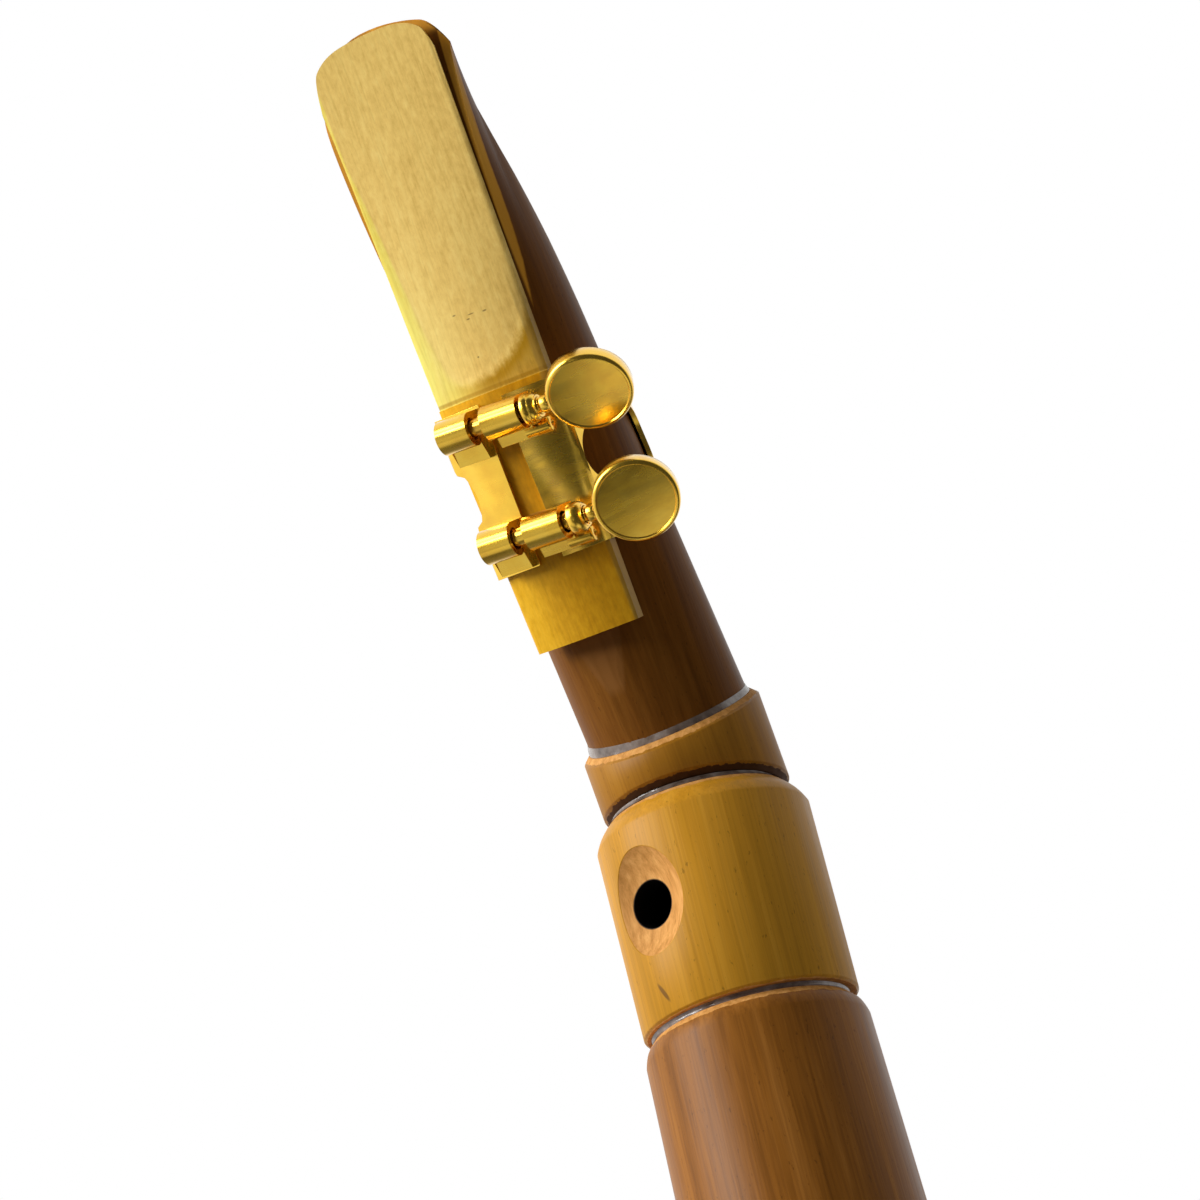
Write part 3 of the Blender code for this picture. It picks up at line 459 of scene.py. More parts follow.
# Scratches of each tube: their two ends and half their width
SCRATCHES = {"neck_tube": ((((-30.5, 21.5), (-22.9, 24.7)), 0.35), (((64.6, 25.4), (82.6, 25.1)), 0.08))}


def mouthpiece_bamboo(table):
    """The mouthpiece's dark wood, golden on the rubbed rails and paler on the flat under the butt, with painted shade
    beside the reed and painted light on the right rail.
    """
    surface, shader, nodes = new_surface("mouthpiece_bamboo")
    place = table_place(nodes, table)
    colour, height, streaks = wood_grain(nodes, place, DARK, 0.9, 0.14, 0.3)
    parts = nodes.add("ShaderNodeSeparateXYZ", {0: place})
    above = nodes.math("MULTIPLY", parts.outputs[1], -1.0)
    along = parts.outputs[2]
    curl = nodes.fade(along, (REED_LENGTH - FACING_LENGTH) * MM, REED_LENGTH * MM, 0.0, 1.0, "LINEAR")
    under = nodes.math("MULTIPLY_ADD", nodes.math("POWER", curl, 2.0), TIP_OPENING * MM, above)
    wide = nodes.fade(along, RAIL_START * MM, 48.0 * MM, 0.0, RAIL_DEPTH * MM)
    uneven = nodes.math("MULTIPLY_ADD", nodes.noise(place, 300.0, 3.0, 0.6), 0.4 * MM, under)
    rubbed = nodes.fade(nodes.math("ADD", uneven, wide), -0.2 * MM, 0.1 * MM)
    aside = nodes.math("ABSOLUTE", parts.outputs[0])
    edge = nodes.fade(along, 0.0, REED_LENGTH * MM, REED_BUTT_HALF_WIDTH * MM, REED_TIP_HALF_WIDTH * MM, "LINEAR")
    # Painted shade: within 0.3 mm of the reed's edge the rail keeps the dark skin colour, standing in for the reed's
    # contact shadow.
    beside = nodes.fade(nodes.math("SUBTRACT", aside, edge), 0.05 * MM, 0.3 * MM)
    at_tip = nodes.fade(along, (REED_LENGTH - 3.0) * MM, (REED_LENGTH - 1.5) * MM)
    rubbed = nodes.math("MULTIPLY", rubbed, nodes.math("MAXIMUM", beside, at_tip))
    rubbed = nodes.math("MULTIPLY", rubbed, nodes.math("GREATER_THAN", wide, 0.02 * MM))
    grain = nodes.fade(streaks, 0.35, 0.65)
    # Painted light: the rail is coloured darker on the left, where the key light falls, and lighter on the right,
    # where the reed casts its shadow.
    golden = nodes.mix(grain, (0.42, 0.17, 0.012), (0.62, 0.28, 0.03))
    rail_painted_light = nodes.mix(grain, (0.62, 0.27, 0.025), (0.85, 0.42, 0.05))
    golden = nodes.mix(nodes.fade(parts.outputs[0], -1.0 * MM, 1.0 * MM), golden, rail_painted_light)
    colour = nodes.mix(rubbed, colour, golden)
    flat = nodes.math("MULTIPLY", nodes.fade(above, -0.32 * MM, -0.2 * MM), nodes.fade(along, 1.0 * MM, 0.0))
    facet = nodes.mix(grain, (0.17, 0.062, 0.010), (0.25, 0.10, 0.022))
    colour = nodes.mix(flat, colour, facet)
    bump = nodes.add("ShaderNodeBump", {"Height": height, "Strength": 0.25, "Distance": 0.1 * MM})
    rough = nodes.fade(streaks, 0.3, 0.7, 0.34, 0.46)
    nodes.wire(shader, Base_Color=colour, Roughness=rough, Normal=bump.outputs[0], Specular_IOR_Level=0.06)
    return surface


# Colours of cut bamboo and of the painted shade on the collar's lower bevel, as linear values
RAW_WOOD = ((0.46, 0.20, 0.04), (0.66, 0.31, 0.08), (0.82, 0.43, 0.13))
BEVEL_PAINTED_SHADE = (0.08, 0.03, 0.008)


class Tube:
    """One bamboo tube: its axis, radii, bores and the planes that cut its ends."""

    def __init__(self, name, top, angle, length, radii, bores):
        self.name = name
        self.top = top
        self.angle = angle
        self.length = length
        self.radii = radii
        self.bores = bores
        self.cuts = [angle, angle]
        self.bevels = (RIM_BEVEL, LOWER_BEVEL)
        self.shoulder = (0.6, 1.6)
        self.holes = []
        self.shade_painted_on_lower_bevel = False

    def at(self, distance):
        """Point on the axis this far below the top."""
        return self.top + heading(self.angle) * distance

    def radius(self, distance):
        """Outer radius this far below the top."""
        return self.radii[0] + (self.radii[1] - self.radii[0]) * distance / self.length


def wall(radius):
    """Thickness of a body tube's wall, which grows with its radius."""
    share = (radius - NECK_RADIUS) / (BODY_TUBES[-1][2] - NECK_RADIUS)
    return WALL_AT_NECK + (WALL_AT_BELL - WALL_AT_NECK) * share


def all_tubes():
    """Every tube from the collar down, with the planes of their shared joints."""
    top = NECK_TOP + heading(0.0) * NECK_LENGTH
    angle = 0.0
    body = []
    for index, (name, length, radius) in enumerate(BODY_TUBES):
        if index >= STRAIGHT_TUBES:
            angle += BOW_BEND
        end_radius = radius + CONE * length
        bores = (radius - wall(radius), end_radius - wall(end_radius))
        body.append(Tube(name, top, angle, length, (radius, end_radius), bores))
        top = body[-1].at(length)
    for upper, lower in zip(body, body[1:]):
        upper.cuts[1] = lower.cuts[0] = (upper.angle + lower.angle) / 2
    neck = Tube("neck_tube", NECK_TOP, 0.0, NECK_LENGTH, (NECK_RADIUS, NECK_RADIUS), (NECK_BORE, NECK_BORE))
    neck.cuts = [WEDGE_SLANT, 0.0]
    neck.bevels = (0.5, LOWER_BEVEL)
    neck.shoulder = (1.5, 2.2)
    seat = NECK_TOP + Vector((0.0, COLLAR_SHIFT, 0.0))
    top = seat - heading(COLLAR_BEND) * COLLAR_HEIGHT
    radii = (COLLAR_RADIUS, COLLAR_RADIUS)
    collar = Tube("neck_collar", top, COLLAR_BEND, COLLAR_HEIGHT, radii, (COLLAR_BORE, COLLAR_BORE))
    collar.cuts = [MOUTHPIECE_BEND, -WEDGE_SLANT]
    collar.bevels = (0.6, 0.6)
    collar.shoulder = (RIM_ROUND, RIM_ROUND)
    # The collar's lower bevel gets painted shade.
    collar.shade_painted_on_lower_bevel = True
    drill(neck, body)
    return [collar, neck] + body


def drill(neck, body):
    """Note the thumb hole at the back of the neck tube and the finger holes in front."""
    below, turn, radius, dish_radius, dish_depth = THUMB_HOLE
    turn = math.radians(turn)
    out = Vector((math.sin(turn), -math.cos(turn), 0.0))
    neck.holes.append(Hole(neck, below, out, radius, dish_radius, dish_depth, THUMB_HOLE_SHIFT))
    for tube in body:
        for below, turn, radius in FINGER_HOLES.get(tube.name, ()):
            turn = math.radians(turn)
            out = Vector((math.sin(turn), math.cos(turn), 0.0))
            tube.holes.append(Hole(tube, below, out, radius, radius * FINGER_DISH_SCALE, FINGER_DISH_DEPTH))


def uneven(turn, seed, detail):
    """A small smooth change round a ring, between about minus one and one."""
    place = Vector((math.cos(turn) * detail, math.sin(turn) * detail, seed))
    return noise.noise(place) + 0.5 * noise.noise(place * 2.3)


def ring(centre, angle, cut, radius, waver=None):
    """Points round a tube's axis in a plane that may slant, in metres."""
    down = heading(angle)
    normal = heading(cut)
    other = down.cross(Vector((1.0, 0.0, 0.0)))
    points = []
    for i in range(TUBE_SIDES):
        turn = 2 * math.pi * i / TUBE_SIDES
        spoke = Vector((math.cos(turn), 0.0, 0.0)) + other * math.sin(turn)
        shift = -radius * spoke.dot(normal) / down.dot(normal)
        if waver:
            shift += waver(turn)
        points.append((centre + spoke * radius + down * shift) * MM)
    return points


def rim_rows(tube, at_top):
    """Rings of one end, from the outer wall over its shoulder and the ragged bevel to the bore."""
    index = 0 if at_top else 1
    end = tube.at(JOINT_GAP / 2) if at_top else tube.at(tube.length - JOINT_GAP / 2)
    inward = 1.0 if at_top else -1.0
    outer = tube.radii[index]
    bevel = tube.bevels[index]
    rise, reach = tube.shoulder if at_top else (RIM_ROUND, RIM_ROUND)
    rim = outer - rise
    seed = len(tube.name) + tube.length * 0.1
    rows = []
    for i in range(7):
        turn = math.radians(90.0 * i / 6)
        share = 1 - i / 6
        inset = bevel + reach * (0.3 * (1 - math.sin(turn)) + 0.7 * share)
        size = rim + rise * (0.3 * math.cos(turn) + 0.7 * share)
        rows.append(ring(end + heading(tube.angle) * inward * inset, tube.angle, tube.cuts[index], size))
    rough = min(bevel * 0.22, 0.12)
    edge = end + heading(tube.angle) * inward * bevel
    rows[-1] = ring(edge, tube.angle, tube.cuts[index], rim, lambda turn: rough * uneven(turn, seed, 11.0))
    rows.append(ring(end, tube.angle, tube.cuts[index], rim - bevel))
    rows.append(ring(end, tube.angle, tube.cuts[index], tube.bores[index]))
    return rows


def swell_rows(tube):
    """Rings of the swelling where the bamboo had a node."""
    share = BODY_NODES.get(tube.name)
    if not share:
        return []
    rows = []
    for i in range(17):
        step = i / 8 - 1
        distance = tube.length * share + step * NODE_HALF_LENGTH
        swell = NODE_SWELL * math.cos(step * math.pi / 2) ** 2
        rows.append(ring(tube.at(distance), tube.angle, tube.angle, tube.radius(distance) + swell))
    return rows


def bell_rows(tube):
    """Rings of the bell's flare, its rounded rim and the flaring bore inside."""
    start = tube.length - BELL_FLARE_LENGTH
    outer, inner = [], []
    for i in range(15):
        share = i / 14
        rise = BELL_FLARE * share ** 2.6
        distance = start + share * BELL_FLARE_LENGTH
        outer.append(ring(tube.at(distance), tube.angle, tube.angle, tube.radius(distance) + rise))
        inner.append(ring(tube.at(distance + BELL_EDGE), tube.angle, tube.angle, tube.bores[1] + rise))
    edge = tube.radius(tube.length) + BELL_FLARE - BELL_EDGE
    outer.append(ring(tube.at(tube.length + BELL_EDGE), tube.angle, tube.angle, edge))
    return outer + inner[::-1]


def hole_tools(name, tube, hole):
    """The solids that cut a hole and its round dish out of a tube's wall."""
    mouth = tube.at(hole.below) + hole.out * tube.radius(hole.below)
    ball = hole.dish_radius - hole.dish_depth
    start = math.asin(max((ball - 2.5) / hole.dish_radius, 0.0))
    down = heading(tube.angle)

    def place(along, depth, above):
        return (mouth - hole.out * depth + down * along + hole.aside * above) * MM

    def shifted(along, depth, above):
        return place(along, depth, above + hole.shift)

    dish = []
    for i in range(21):
        turn = start + (math.pi / 2 - start) * i / 21
        dish.append((hole.dish_radius * math.sin(turn) - ball, hole.dish_radius * math.cos(turn)))
    reach = tube.radius(hole.below) - tube.bores[0] + hole.radius
    bore = ((-1.0, hole.radius), (reach, hole.radius))
    return [new_object(name + "_dish", lathe(dish, place, 96)), new_object(name, lathe(bore, shifted, 96))]


def add_tube(tube, surface):
    """Model one tube as a closed ring with rims, swellings, bore and dished holes."""
    rows = rim_rows(tube, True)[::-1]
    rows += swell_rows(tube)
    rows += bell_rows(tube) if tube.name == "bell" else rim_rows(tube, False)
    item = new_object("bamboo_" + tube.name, loft(rows, closed_along=True), 35.0)
    if tube.holes:
        tools = []
        for i, hole in enumerate(tube.holes):
            tools += hole_tools(f"{tube.name}_hole_{i}", tube, hole)
        combine(item, tools, "DIFFERENCE")
        item.data.shade_smooth()
        item.data.set_sharp_from_angle(angle=math.radians(35.0))
    slots = {"neck_collar": "olive_bamboo", "neck_tube": "light_bamboo"}
    dress(item, surface, "instrument", slots.get(tube.name, "body_bamboo"), [tube.name])


def add_glue(name, upper_end, lower, surface, seed):
    """Glue in the groove between two rims: a hollow fillet with lumps, fuller on the left side."""
    angle, radius, normal = upper_end
    middle = (normal + lower.cuts[0]) / 2
    bore = lower.bores[0] + 0.3
    rim = lower.radii[0] - lower.shoulder[0] - lower.bevels[0]
    half = JOINT_GAP / 2 - GLUE_CLEARANCE
    rows = [[] for _ in range(9)]
    down = heading(middle)
    other = down.cross(Vector((1.0, 0.0, 0.0)))
    for i in range(TUBE_SIDES):
        turn = 2 * math.pi * i / TUBE_SIDES
        spoke = Vector((math.cos(turn), 0.0, 0.0)) + other * math.sin(turn)
        left = max(-math.cos(turn), 0.0)
        lumps = 0.07 * uneven(turn, seed, 6.0) + 0.04 * uneven(turn, seed + 3.0, 19.0)
        sunk = GLUE_RECESS * (1 - left) ** 1.5
        climb = (0.1 + GLUE_CLIMB * left) if radius < rim else 0.0
        outer = radius + 0.05 if climb else min(radius - 0.8, rim + 0.3) - sunk
        shape = [(-half - climb, bore)]
        for step in range(7):
            share = step / 6
            hollow = GLUE_HOLLOW * math.sin(math.pi * share) * (1 if share < 1 else 0)
            size = outer + (rim - (0.1 if climb else sunk) - outer) * share - (0.0 if climb else hollow)
            shape.append((-half - climb + (2 * half + climb) * share, max(size + lumps * math.sin(math.pi * share), bore + 0.1)))
        shape.append((half, bore))
        for row, (reach, size) in zip(rows, shape):
            row.append((lower.top + down * reach + spoke * size) * MM)
    item = new_object(name, loft(rows, closed_along=True), 60.0)
    dress(item, surface, "instrument", "glue", [name.replace("dried_", "")])


class Hole:
    """A dished hole in a tube's wall: where it lies below the top, its way out and its radii."""

    def __init__(self, tube, below, out, radius, dish_radius, dish_depth, shift=0.0):
        self.below = below
        self.shift = shift
        self.out = out
        self.aside = heading(tube.angle).cross(out)
        self.radius = radius
        self.dish_radius = dish_radius
        self.dish_depth = dish_depth

    def outline(self):
        """Half the dish's length along the tube."""
        return math.sqrt(self.dish_radius ** 2 - (self.dish_radius - self.dish_depth) ** 2)


def brass(name, turn, brushed, wear=1.0):
    """Gold-lacquered brass: brush marks across one direction, faint patina and small scratches."""
    surface, shader, nodes = new_surface(name)
    place = nodes.add("ShaderNodeTexCoord").outputs["Object"]
    turned = nodes.add("ShaderNodeMapping", {"Vector": place, "Rotation": turn}).outputs[0]
    strokes = nodes.noise(nodes.stretch(turned, brushed), 2600.0, 3.0, 0.65)
    marks = nodes.noise(nodes.stretch(turned, tuple(v * 0.6 for v in brushed)), 900.0, 3.0, 0.6)
    patina = nodes.noise(place, 260.0, 4.0, 0.6)
    gold = ((0.3, (0.88, 0.49, 0.022)), (0.5, (0.96, 0.58, 0.032)), (0.75, (1.0, 0.65, 0.055)))
    colour = nodes.ramp(patina, gold)
    height = nodes.math("MULTIPLY_ADD", strokes, 0.5, nodes.math("MULTIPLY", marks, 0.5))
    bump = nodes.add("ShaderNodeBump", {"Height": height, "Strength": 0.1 * wear, "Distance": 0.05 * MM})
    rough = nodes.fade(marks, 0.3, 0.7, 0.2, 0.3)
    nodes.wire(shader, Base_Color=colour, Roughness=rough, Normal=bump.outputs[0], Metallic=1.0)
    nodes.wire(shader, Coat_Weight=1.0, Coat_Roughness=0.2)
    return surface


def glue():
    """Dried glue in the grooves: grey, glossy and uneven."""
    surface, shader, nodes = new_surface("dried_glue")
    place = nodes.add("ShaderNodeTexCoord").outputs["Object"]
    lumps = nodes.noise(place, 420.0, 4.0, 0.6)
    colour = nodes.ramp(lumps, ((0.3, (0.09, 0.06, 0.045)), (0.5, (0.20, 0.15, 0.12)), (0.7, (0.36, 0.31, 0.28))))
    bump = nodes.add("ShaderNodeBump", {"Height": lumps, "Strength": 0.35, "Distance": 0.3 * MM})
    nodes.wire(shader, Base_Color=colour, Normal=bump.outputs[0], Roughness=0.2, Specular_IOR_Level=0.8)
    return surface


def cane(table):
    """Reed cane: golden bark, filed wood above the file's line and a pale mottled vamp, with painted light on its left
    side.
    """
    surface, shader, nodes = new_surface("reed_cane")
    place = table_place(nodes, table)
    within = nodes.add("ShaderNodeAttribute", attribute_name="within_vamp").outputs["Fac"]
    parts = nodes.add("ShaderNodeSeparateXYZ", {0: place})
    fibres = nodes.noise(nodes.stretch(place, (1.0, 0.3, 0.06)), 3000.0, 3.0, 0.65)
    mottle = nodes.noise(nodes.stretch(place, (1.0, 0.3, 0.5)), 1500.0, 4.0, 0.7)
    bands = nodes.noise(nodes.stretch(place, (1.0, 0.3, 0.1)), 260.0, 3.0, 0.5)
    tone = nodes.math("MULTIPLY_ADD", mottle, 0.7, nodes.math("MULTIPLY", bands, 0.3))
    vamp = nodes.ramp(tone, ((0.3, (0.76, 0.48, 0.11)), (0.5, (0.90, 0.61, 0.16)), (0.7, (0.98, 0.72, 0.22))))
    filed = nodes.ramp(tone, ((0.34, (0.58, 0.34, 0.045)), (0.5, (0.68, 0.42, 0.06)), (0.66, (0.78, 0.50, 0.08))))
    bark = nodes.ramp(tone, ((0.34, (0.52, 0.245, 0.004)), (0.5, (0.63, 0.30, 0.006)), (0.66, (0.72, 0.37, 0.010))))
    # Painted light: filed wood and bark turn lighter and yellower towards the left, where the key light falls.
    lit = nodes.fade(parts.outputs[0], 1.5 * MM, -6.5 * MM)
    filed = nodes.mix(lit, filed, nodes.ramp(tone, ((0.34, (0.95, 0.74, 0.11)), (0.66, (1.0, 0.92, 0.19)))))
    bark = nodes.mix(lit, bark, nodes.ramp(tone, ((0.34, (0.78, 0.40, 0.008)), (0.66, (0.95, 0.55, 0.03)))))
    wander = nodes.math("MULTIPLY_ADD", mottle, 1.4, nodes.math("SUBTRACT", within, 0.7))
    inside = nodes.fade(wander, -0.7, 0.9)
    band = nodes.math("MULTIPLY", nodes.fade(wander, -1.9, -0.6), nodes.math("SUBTRACT", 1.0, inside))
    band = nodes.math("MULTIPLY", band, nodes.fade(parts.outputs[0], -5.0 * MM, 3.0 * MM, 0.3, 1.0))
    filed = nodes.mix(nodes.math("MULTIPLY", band, 0.85), filed, (0.52, 0.27, 0.004))
    colour = nodes.mix(inside, filed, vamp)
    # Painted highlight: a pale yellow wash on the left of the reed, strongest nearer the butt.
    painted_highlight_low_left = nodes.math("MULTIPLY", lit, nodes.fade(parts.outputs[2], 52.0 * MM, 34.0 * MM))
    colour = nodes.mix(nodes.math("MULTIPLY", painted_highlight_low_left, 0.3), colour, (1.0, 0.90, 0.30))
    colour = nodes.mix(nodes.fade(parts.outputs[2], FILE_LINE * MM, (FILE_LINE + 0.05) * MM), bark, colour)
    line = nodes.math("ABSOLUTE", nodes.math("SUBTRACT", parts.outputs[2], (FILE_LINE + 0.35) * MM))
    colour = nodes.mix(nodes.fade(line, 0.35 * MM, 0.1 * MM, 0.0, 0.6), colour, (0.40, 0.20, 0.004))
    side = nodes.fade(parts.outputs[0], 6.1 * MM, 6.5 * MM)
    side = nodes.math("MULTIPLY", side, nodes.fade(parts.outputs[2], 44.0 * MM, 36.0 * MM))
    colour = nodes.mix(nodes.math("MULTIPLY", side, 0.6), colour, (0.33, 0.21, 0.05))
    fine = nodes.ramp(fibres, ((0.3, (0.86, 0.83, 0.74)), (0.55, (1.0, 1.0, 1.0))))
    colour = nodes.mix(0.8, colour, fine, "MULTIPLY")
    for across, along, half_width, half_length in CANE_FLECKS:
        shifted = nodes.vector("SUBTRACT", place, (across * MM, 0.0, along * MM)).outputs[0]
        squashed = nodes.vector("MULTIPLY", shifted, (1.0 / half_width, 0.0, 1.0 / half_length)).outputs[0]
        away = nodes.add("ShaderNodeVectorMath", {0: squashed}, operation="LENGTH").outputs["Value"]
        colour = nodes.mix(nodes.fade(away, 1.0 * MM, 0.4 * MM, 0.0, 0.75), colour, (0.20, 0.11, 0.03))
    bump = nodes.add("ShaderNodeBump", {"Height": fibres, "Strength": 0.25, "Distance": 0.08 * MM})
    rough = nodes.fade(within, -0.5, 0.5, 0.36, 0.54)
    nodes.wire(shader, Base_Color=colour, Roughness=rough, Normal=bump.outputs[0], Specular_IOR_Level=0.15)
    return surface


# Small dark marks on the vamp: across, along, half width and half length
CANE_FLECKS = (
    (-1.05, 39.25, 0.28, 0.12),
    (2.7, 38.55, 0.34, 0.14),
    (1.0, 38.75, 0.5, 0.1),
    (0.5, 38.3, 0.3, 0.12),
    (0.15, 33.9, 0.16, 0.14),
)


def paint(names, surface):
    """Give these CAD nodes the surface, through their objects' own slots."""
    for name in names:
        item = frame["nodes"][name]
        if not item.material_slots:
            item.data.materials.append(None)
        for slot in item.material_slots:
            slot.link = "OBJECT"
            slot.material = surface


def loft(loops, closed_around=True, closed_along=False, capped=False):
    """Skin rows of points into a bmesh."""
    builder = bmesh.new()
    rows = [[builder.verts.new(point) for point in row] for row in loops]
    pairs = list(zip(rows, rows[1:]))
    if closed_along:
        pairs.append((rows[-1], rows[0]))
    for first, second in pairs:
        count = len(first)
        for i in range(count if closed_around else count - 1):
            j = (i + 1) % count
            builder.faces.new((first[i], first[j], second[j], second[i]))
    if capped:
        builder.faces.new(rows[0])
        builder.faces.new(rows[-1])
    return builder


def lathe(profile, place, sides=72, closed=False):
    """Turn a profile of (distance along, radius) about a row's axis; place gives the world point."""
    rows = []
    for reach, size in profile:
        turns = [2 * math.pi * i / sides for i in range(sides)]
        rows.append([place(size * math.cos(turn), reach, size * math.sin(turn)) for turn in turns])
    return loft(rows, closed_along=closed, capped=not closed)


def new_object(name, builder, smooth_angle=40.0):
    """A mesh object from a bmesh whose points are in metres in the world."""
    bmesh.ops.recalc_face_normals(builder, faces=builder.faces)
    mesh = bpy.data.meshes.new(name)
    builder.to_mesh(mesh)
    builder.free()
    mesh.shade_smooth()
    mesh.set_sharp_from_angle(angle=math.radians(smooth_angle))
    item = bpy.data.objects.new(name, mesh)
    bpy.context.scene.collection.objects.link(item)
    return item


def combine(target, tools, operation):
    """Join or cut the target with the tools, in the mesh itself."""
    for tool in tools:
        step = target.modifiers.new(tool.name, "BOOLEAN")
        step.operation = operation
        step.solver = "EXACT"
        step.object = tool
    graph = bpy.context.evaluated_depsgraph_get()
    mesh = bpy.data.meshes.new_from_object(target.evaluated_get(graph))
    target.modifiers.clear()
    target.data = mesh
    for tool in tools:
        bpy.data.objects.remove(tool, do_unlink=True)


def dress(item, surface, body, slot, replaced=(), bevel=0.0):
    """Finish a piece: its material, its body, the nodes it stands for and soft edges; the slot argument is not used.
    """
    item.data.materials.clear()
    item.data.materials.append(surface)
    if bevel:
        step = item.modifiers.new("soft_edges", "BEVEL")
        step.width = bevel * MM
        step.segments = 3
        step.limit_method = "ANGLE"
        step.angle_limit = math.radians(42.0)
        step.harden_normals = True
    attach(item, body)
    for node in replaced:
        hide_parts(node)


def reed_half_width(along):
    """Half the reed's width at this distance from the butt."""
    share = min(max(along / REED_LENGTH, 0.0), 1.0)
    return REED_BUTT_HALF_WIDTH + (REED_TIP_HALF_WIDTH - REED_BUTT_HALF_WIDTH) * share


def bark_top(along, across):
    """Height of the bark's round back."""
    share = min(abs(across) / reed_half_width(along), 1.0)
    return REED_SIDE_HEIGHT + (REED_THICKNESS - REED_SIDE_HEIGHT) * (1 - share * share)


def within_vamp(along, across):
    """Distance inside the vamp's U-shaped border, in millimetres and about right near it."""
    squeeze = 1.0 - 0.27 * min(max((along - 36.0) / 24.0, 0.0), 1.0)
    aside = across * squeeze - VAMP_MIDDLE
    width, power = VAMP_RIGHT if aside > 0 else VAMP_LEFT

    def border(distance):
        share = min(distance / width, 1.0)
        return VAMP_APEX + VAMP_DEPTH * (1 - (1 - share ** power) ** (1 / power))

    here = border(abs(aside))
    slope = (border(abs(aside) + 0.05) - border(max(abs(aside) - 0.05, 0.0))) / 0.1
    beyond = max(abs(aside) - width, 0.0)
    return (along - here) / math.sqrt(1 + slope * slope) if not beyond else -beyond


def reed_top(along, across):
    """Height of the reed's upper side: bark, then filed, then thinned towards the tip."""
    bark = bark_top(along, across)
    if along <= FILE_LINE:
        return bark
    share = min(max((along - SCRAPE_START) / (REED_LENGTH - SCRAPE_START), 0.0), 1.0)
    left = (1 - share) ** SCRAPE_POWER
    step = min(max(within_vamp(along, across) / 0.8, 0.0), 1.0)
    return (bark - FILE_STEP - SCRAPE_STEP * step) * left + REED_TIP_THICKNESS * (1 - left)


def reed_tip_fall(across):
    """How far the reed's round tip falls back from its middle."""
    share = abs(across) / REED_TIP_HALF_WIDTH
    corner = REED_TIP_CORNER * max(abs(across) - 7.0, 0.0) ** 2
    return REED_TIP_ARC * share ** 4 + REED_TIP_TILT * max(-across, 0.0) + corner


def tip_fall(across, half_width, arc):
    """How far a round tip falls back from its middle."""
    radius = (half_width ** 2 + arc ** 2) / (2 * arc)
    return radius - math.sqrt(max(radius ** 2 - across ** 2, 0.0))


def add_reed(table, surface):
    """The cane reed: round bark, file cut, U-shaped vamp, flat underside and round tip."""
    stations = [FILE_LINE * i / 30 for i in range(30)]
    stations += [FILE_LINE - 0.05, FILE_LINE + 0.05]
    steps = REED_ROWS - len(stations)
    start = FILE_LINE + 0.05
    stations += [start + (REED_LENGTH - start) * i / steps for i in range(1, steps + 1)]
    rows = []
    marks = []
    for station in stations:
        upper, lower, inside = [], [], []
        share_along = max(station - FILE_LINE, 0.0) / (REED_LENGTH - FILE_LINE)
        for column in range(REED_COLUMNS + 1):
            share = -math.cos(math.pi * column / REED_COLUMNS)
            half = reed_half_width(station)
            across = share * (half if share > 0 else half + REED_LEFT_EXTRA * min(station / 40.0, 1.0))
            along = station - reed_tip_fall(across) * share_along ** 3
            top = reed_top(along, across)
            round_off = 0.15 * max((abs(share) - 0.94) / 0.06, 0.0) ** 2
            upper.append(table.place(along, across, top - min(round_off, top * 0.3)))
            lower.append(table.place(along, across, 0.0))
            inside.append(within_vamp(along, across))
        rows.append(upper + lower[::-1])
        marks.append(inside + inside[::-1])
    item = new_object("cane_reed", loft(rows, capped=True), 30.0)
    attribute = item.data.attributes.new("within_vamp", "FLOAT", "POINT")
    attribute.data.foreach_set("value", [value for row in marks for value in row])
    dress(item, surface, "reed", "cane", ["reed"])


def axis_below_table(along):
    """How far the mouthpiece's axis lies under the table."""
    return (TABLE_ABOVE_AXIS - along * math.sin(TABLE_INCLINE)) / math.cos(TABLE_INCLINE)


def shank_radius(along):
    """Outer radius of the mouthpiece."""
    return SHANK_RADIUS - SHANK_TAPER * along


def facing(along):
    """Height of the mouthpiece's table, which curves away under the reed's tip."""
    share = max(along - REED_LENGTH + FACING_LENGTH, 0.0) / FACING_LENGTH
    return -TABLE_GAP - TIP_OPENING * share ** 2


def beak_back(along, across):
    """Height of the beak's scooped back, whose sides rise a little."""
    share = min(max((REED_LENGTH + TIP_OVERHANG - along) / BEAK_LENGTH, 0.0), 1.15)
    start = REED_LENGTH - BEAK_LENGTH
    deepest = axis_below_table(start) + shank_radius(start)
    tip_depth = SEAT_GAP + TIP_OPENING + BEAK_TIP_DEPTH
    depth = tip_depth + (deepest - tip_depth) * (0.55 * share + 0.45 * share ** 3)
    rise = BEAK_SIDE_RISE * (across / SHANK_RADIUS) ** 2 * (1 - min(share, 1.0))
    return rise - depth


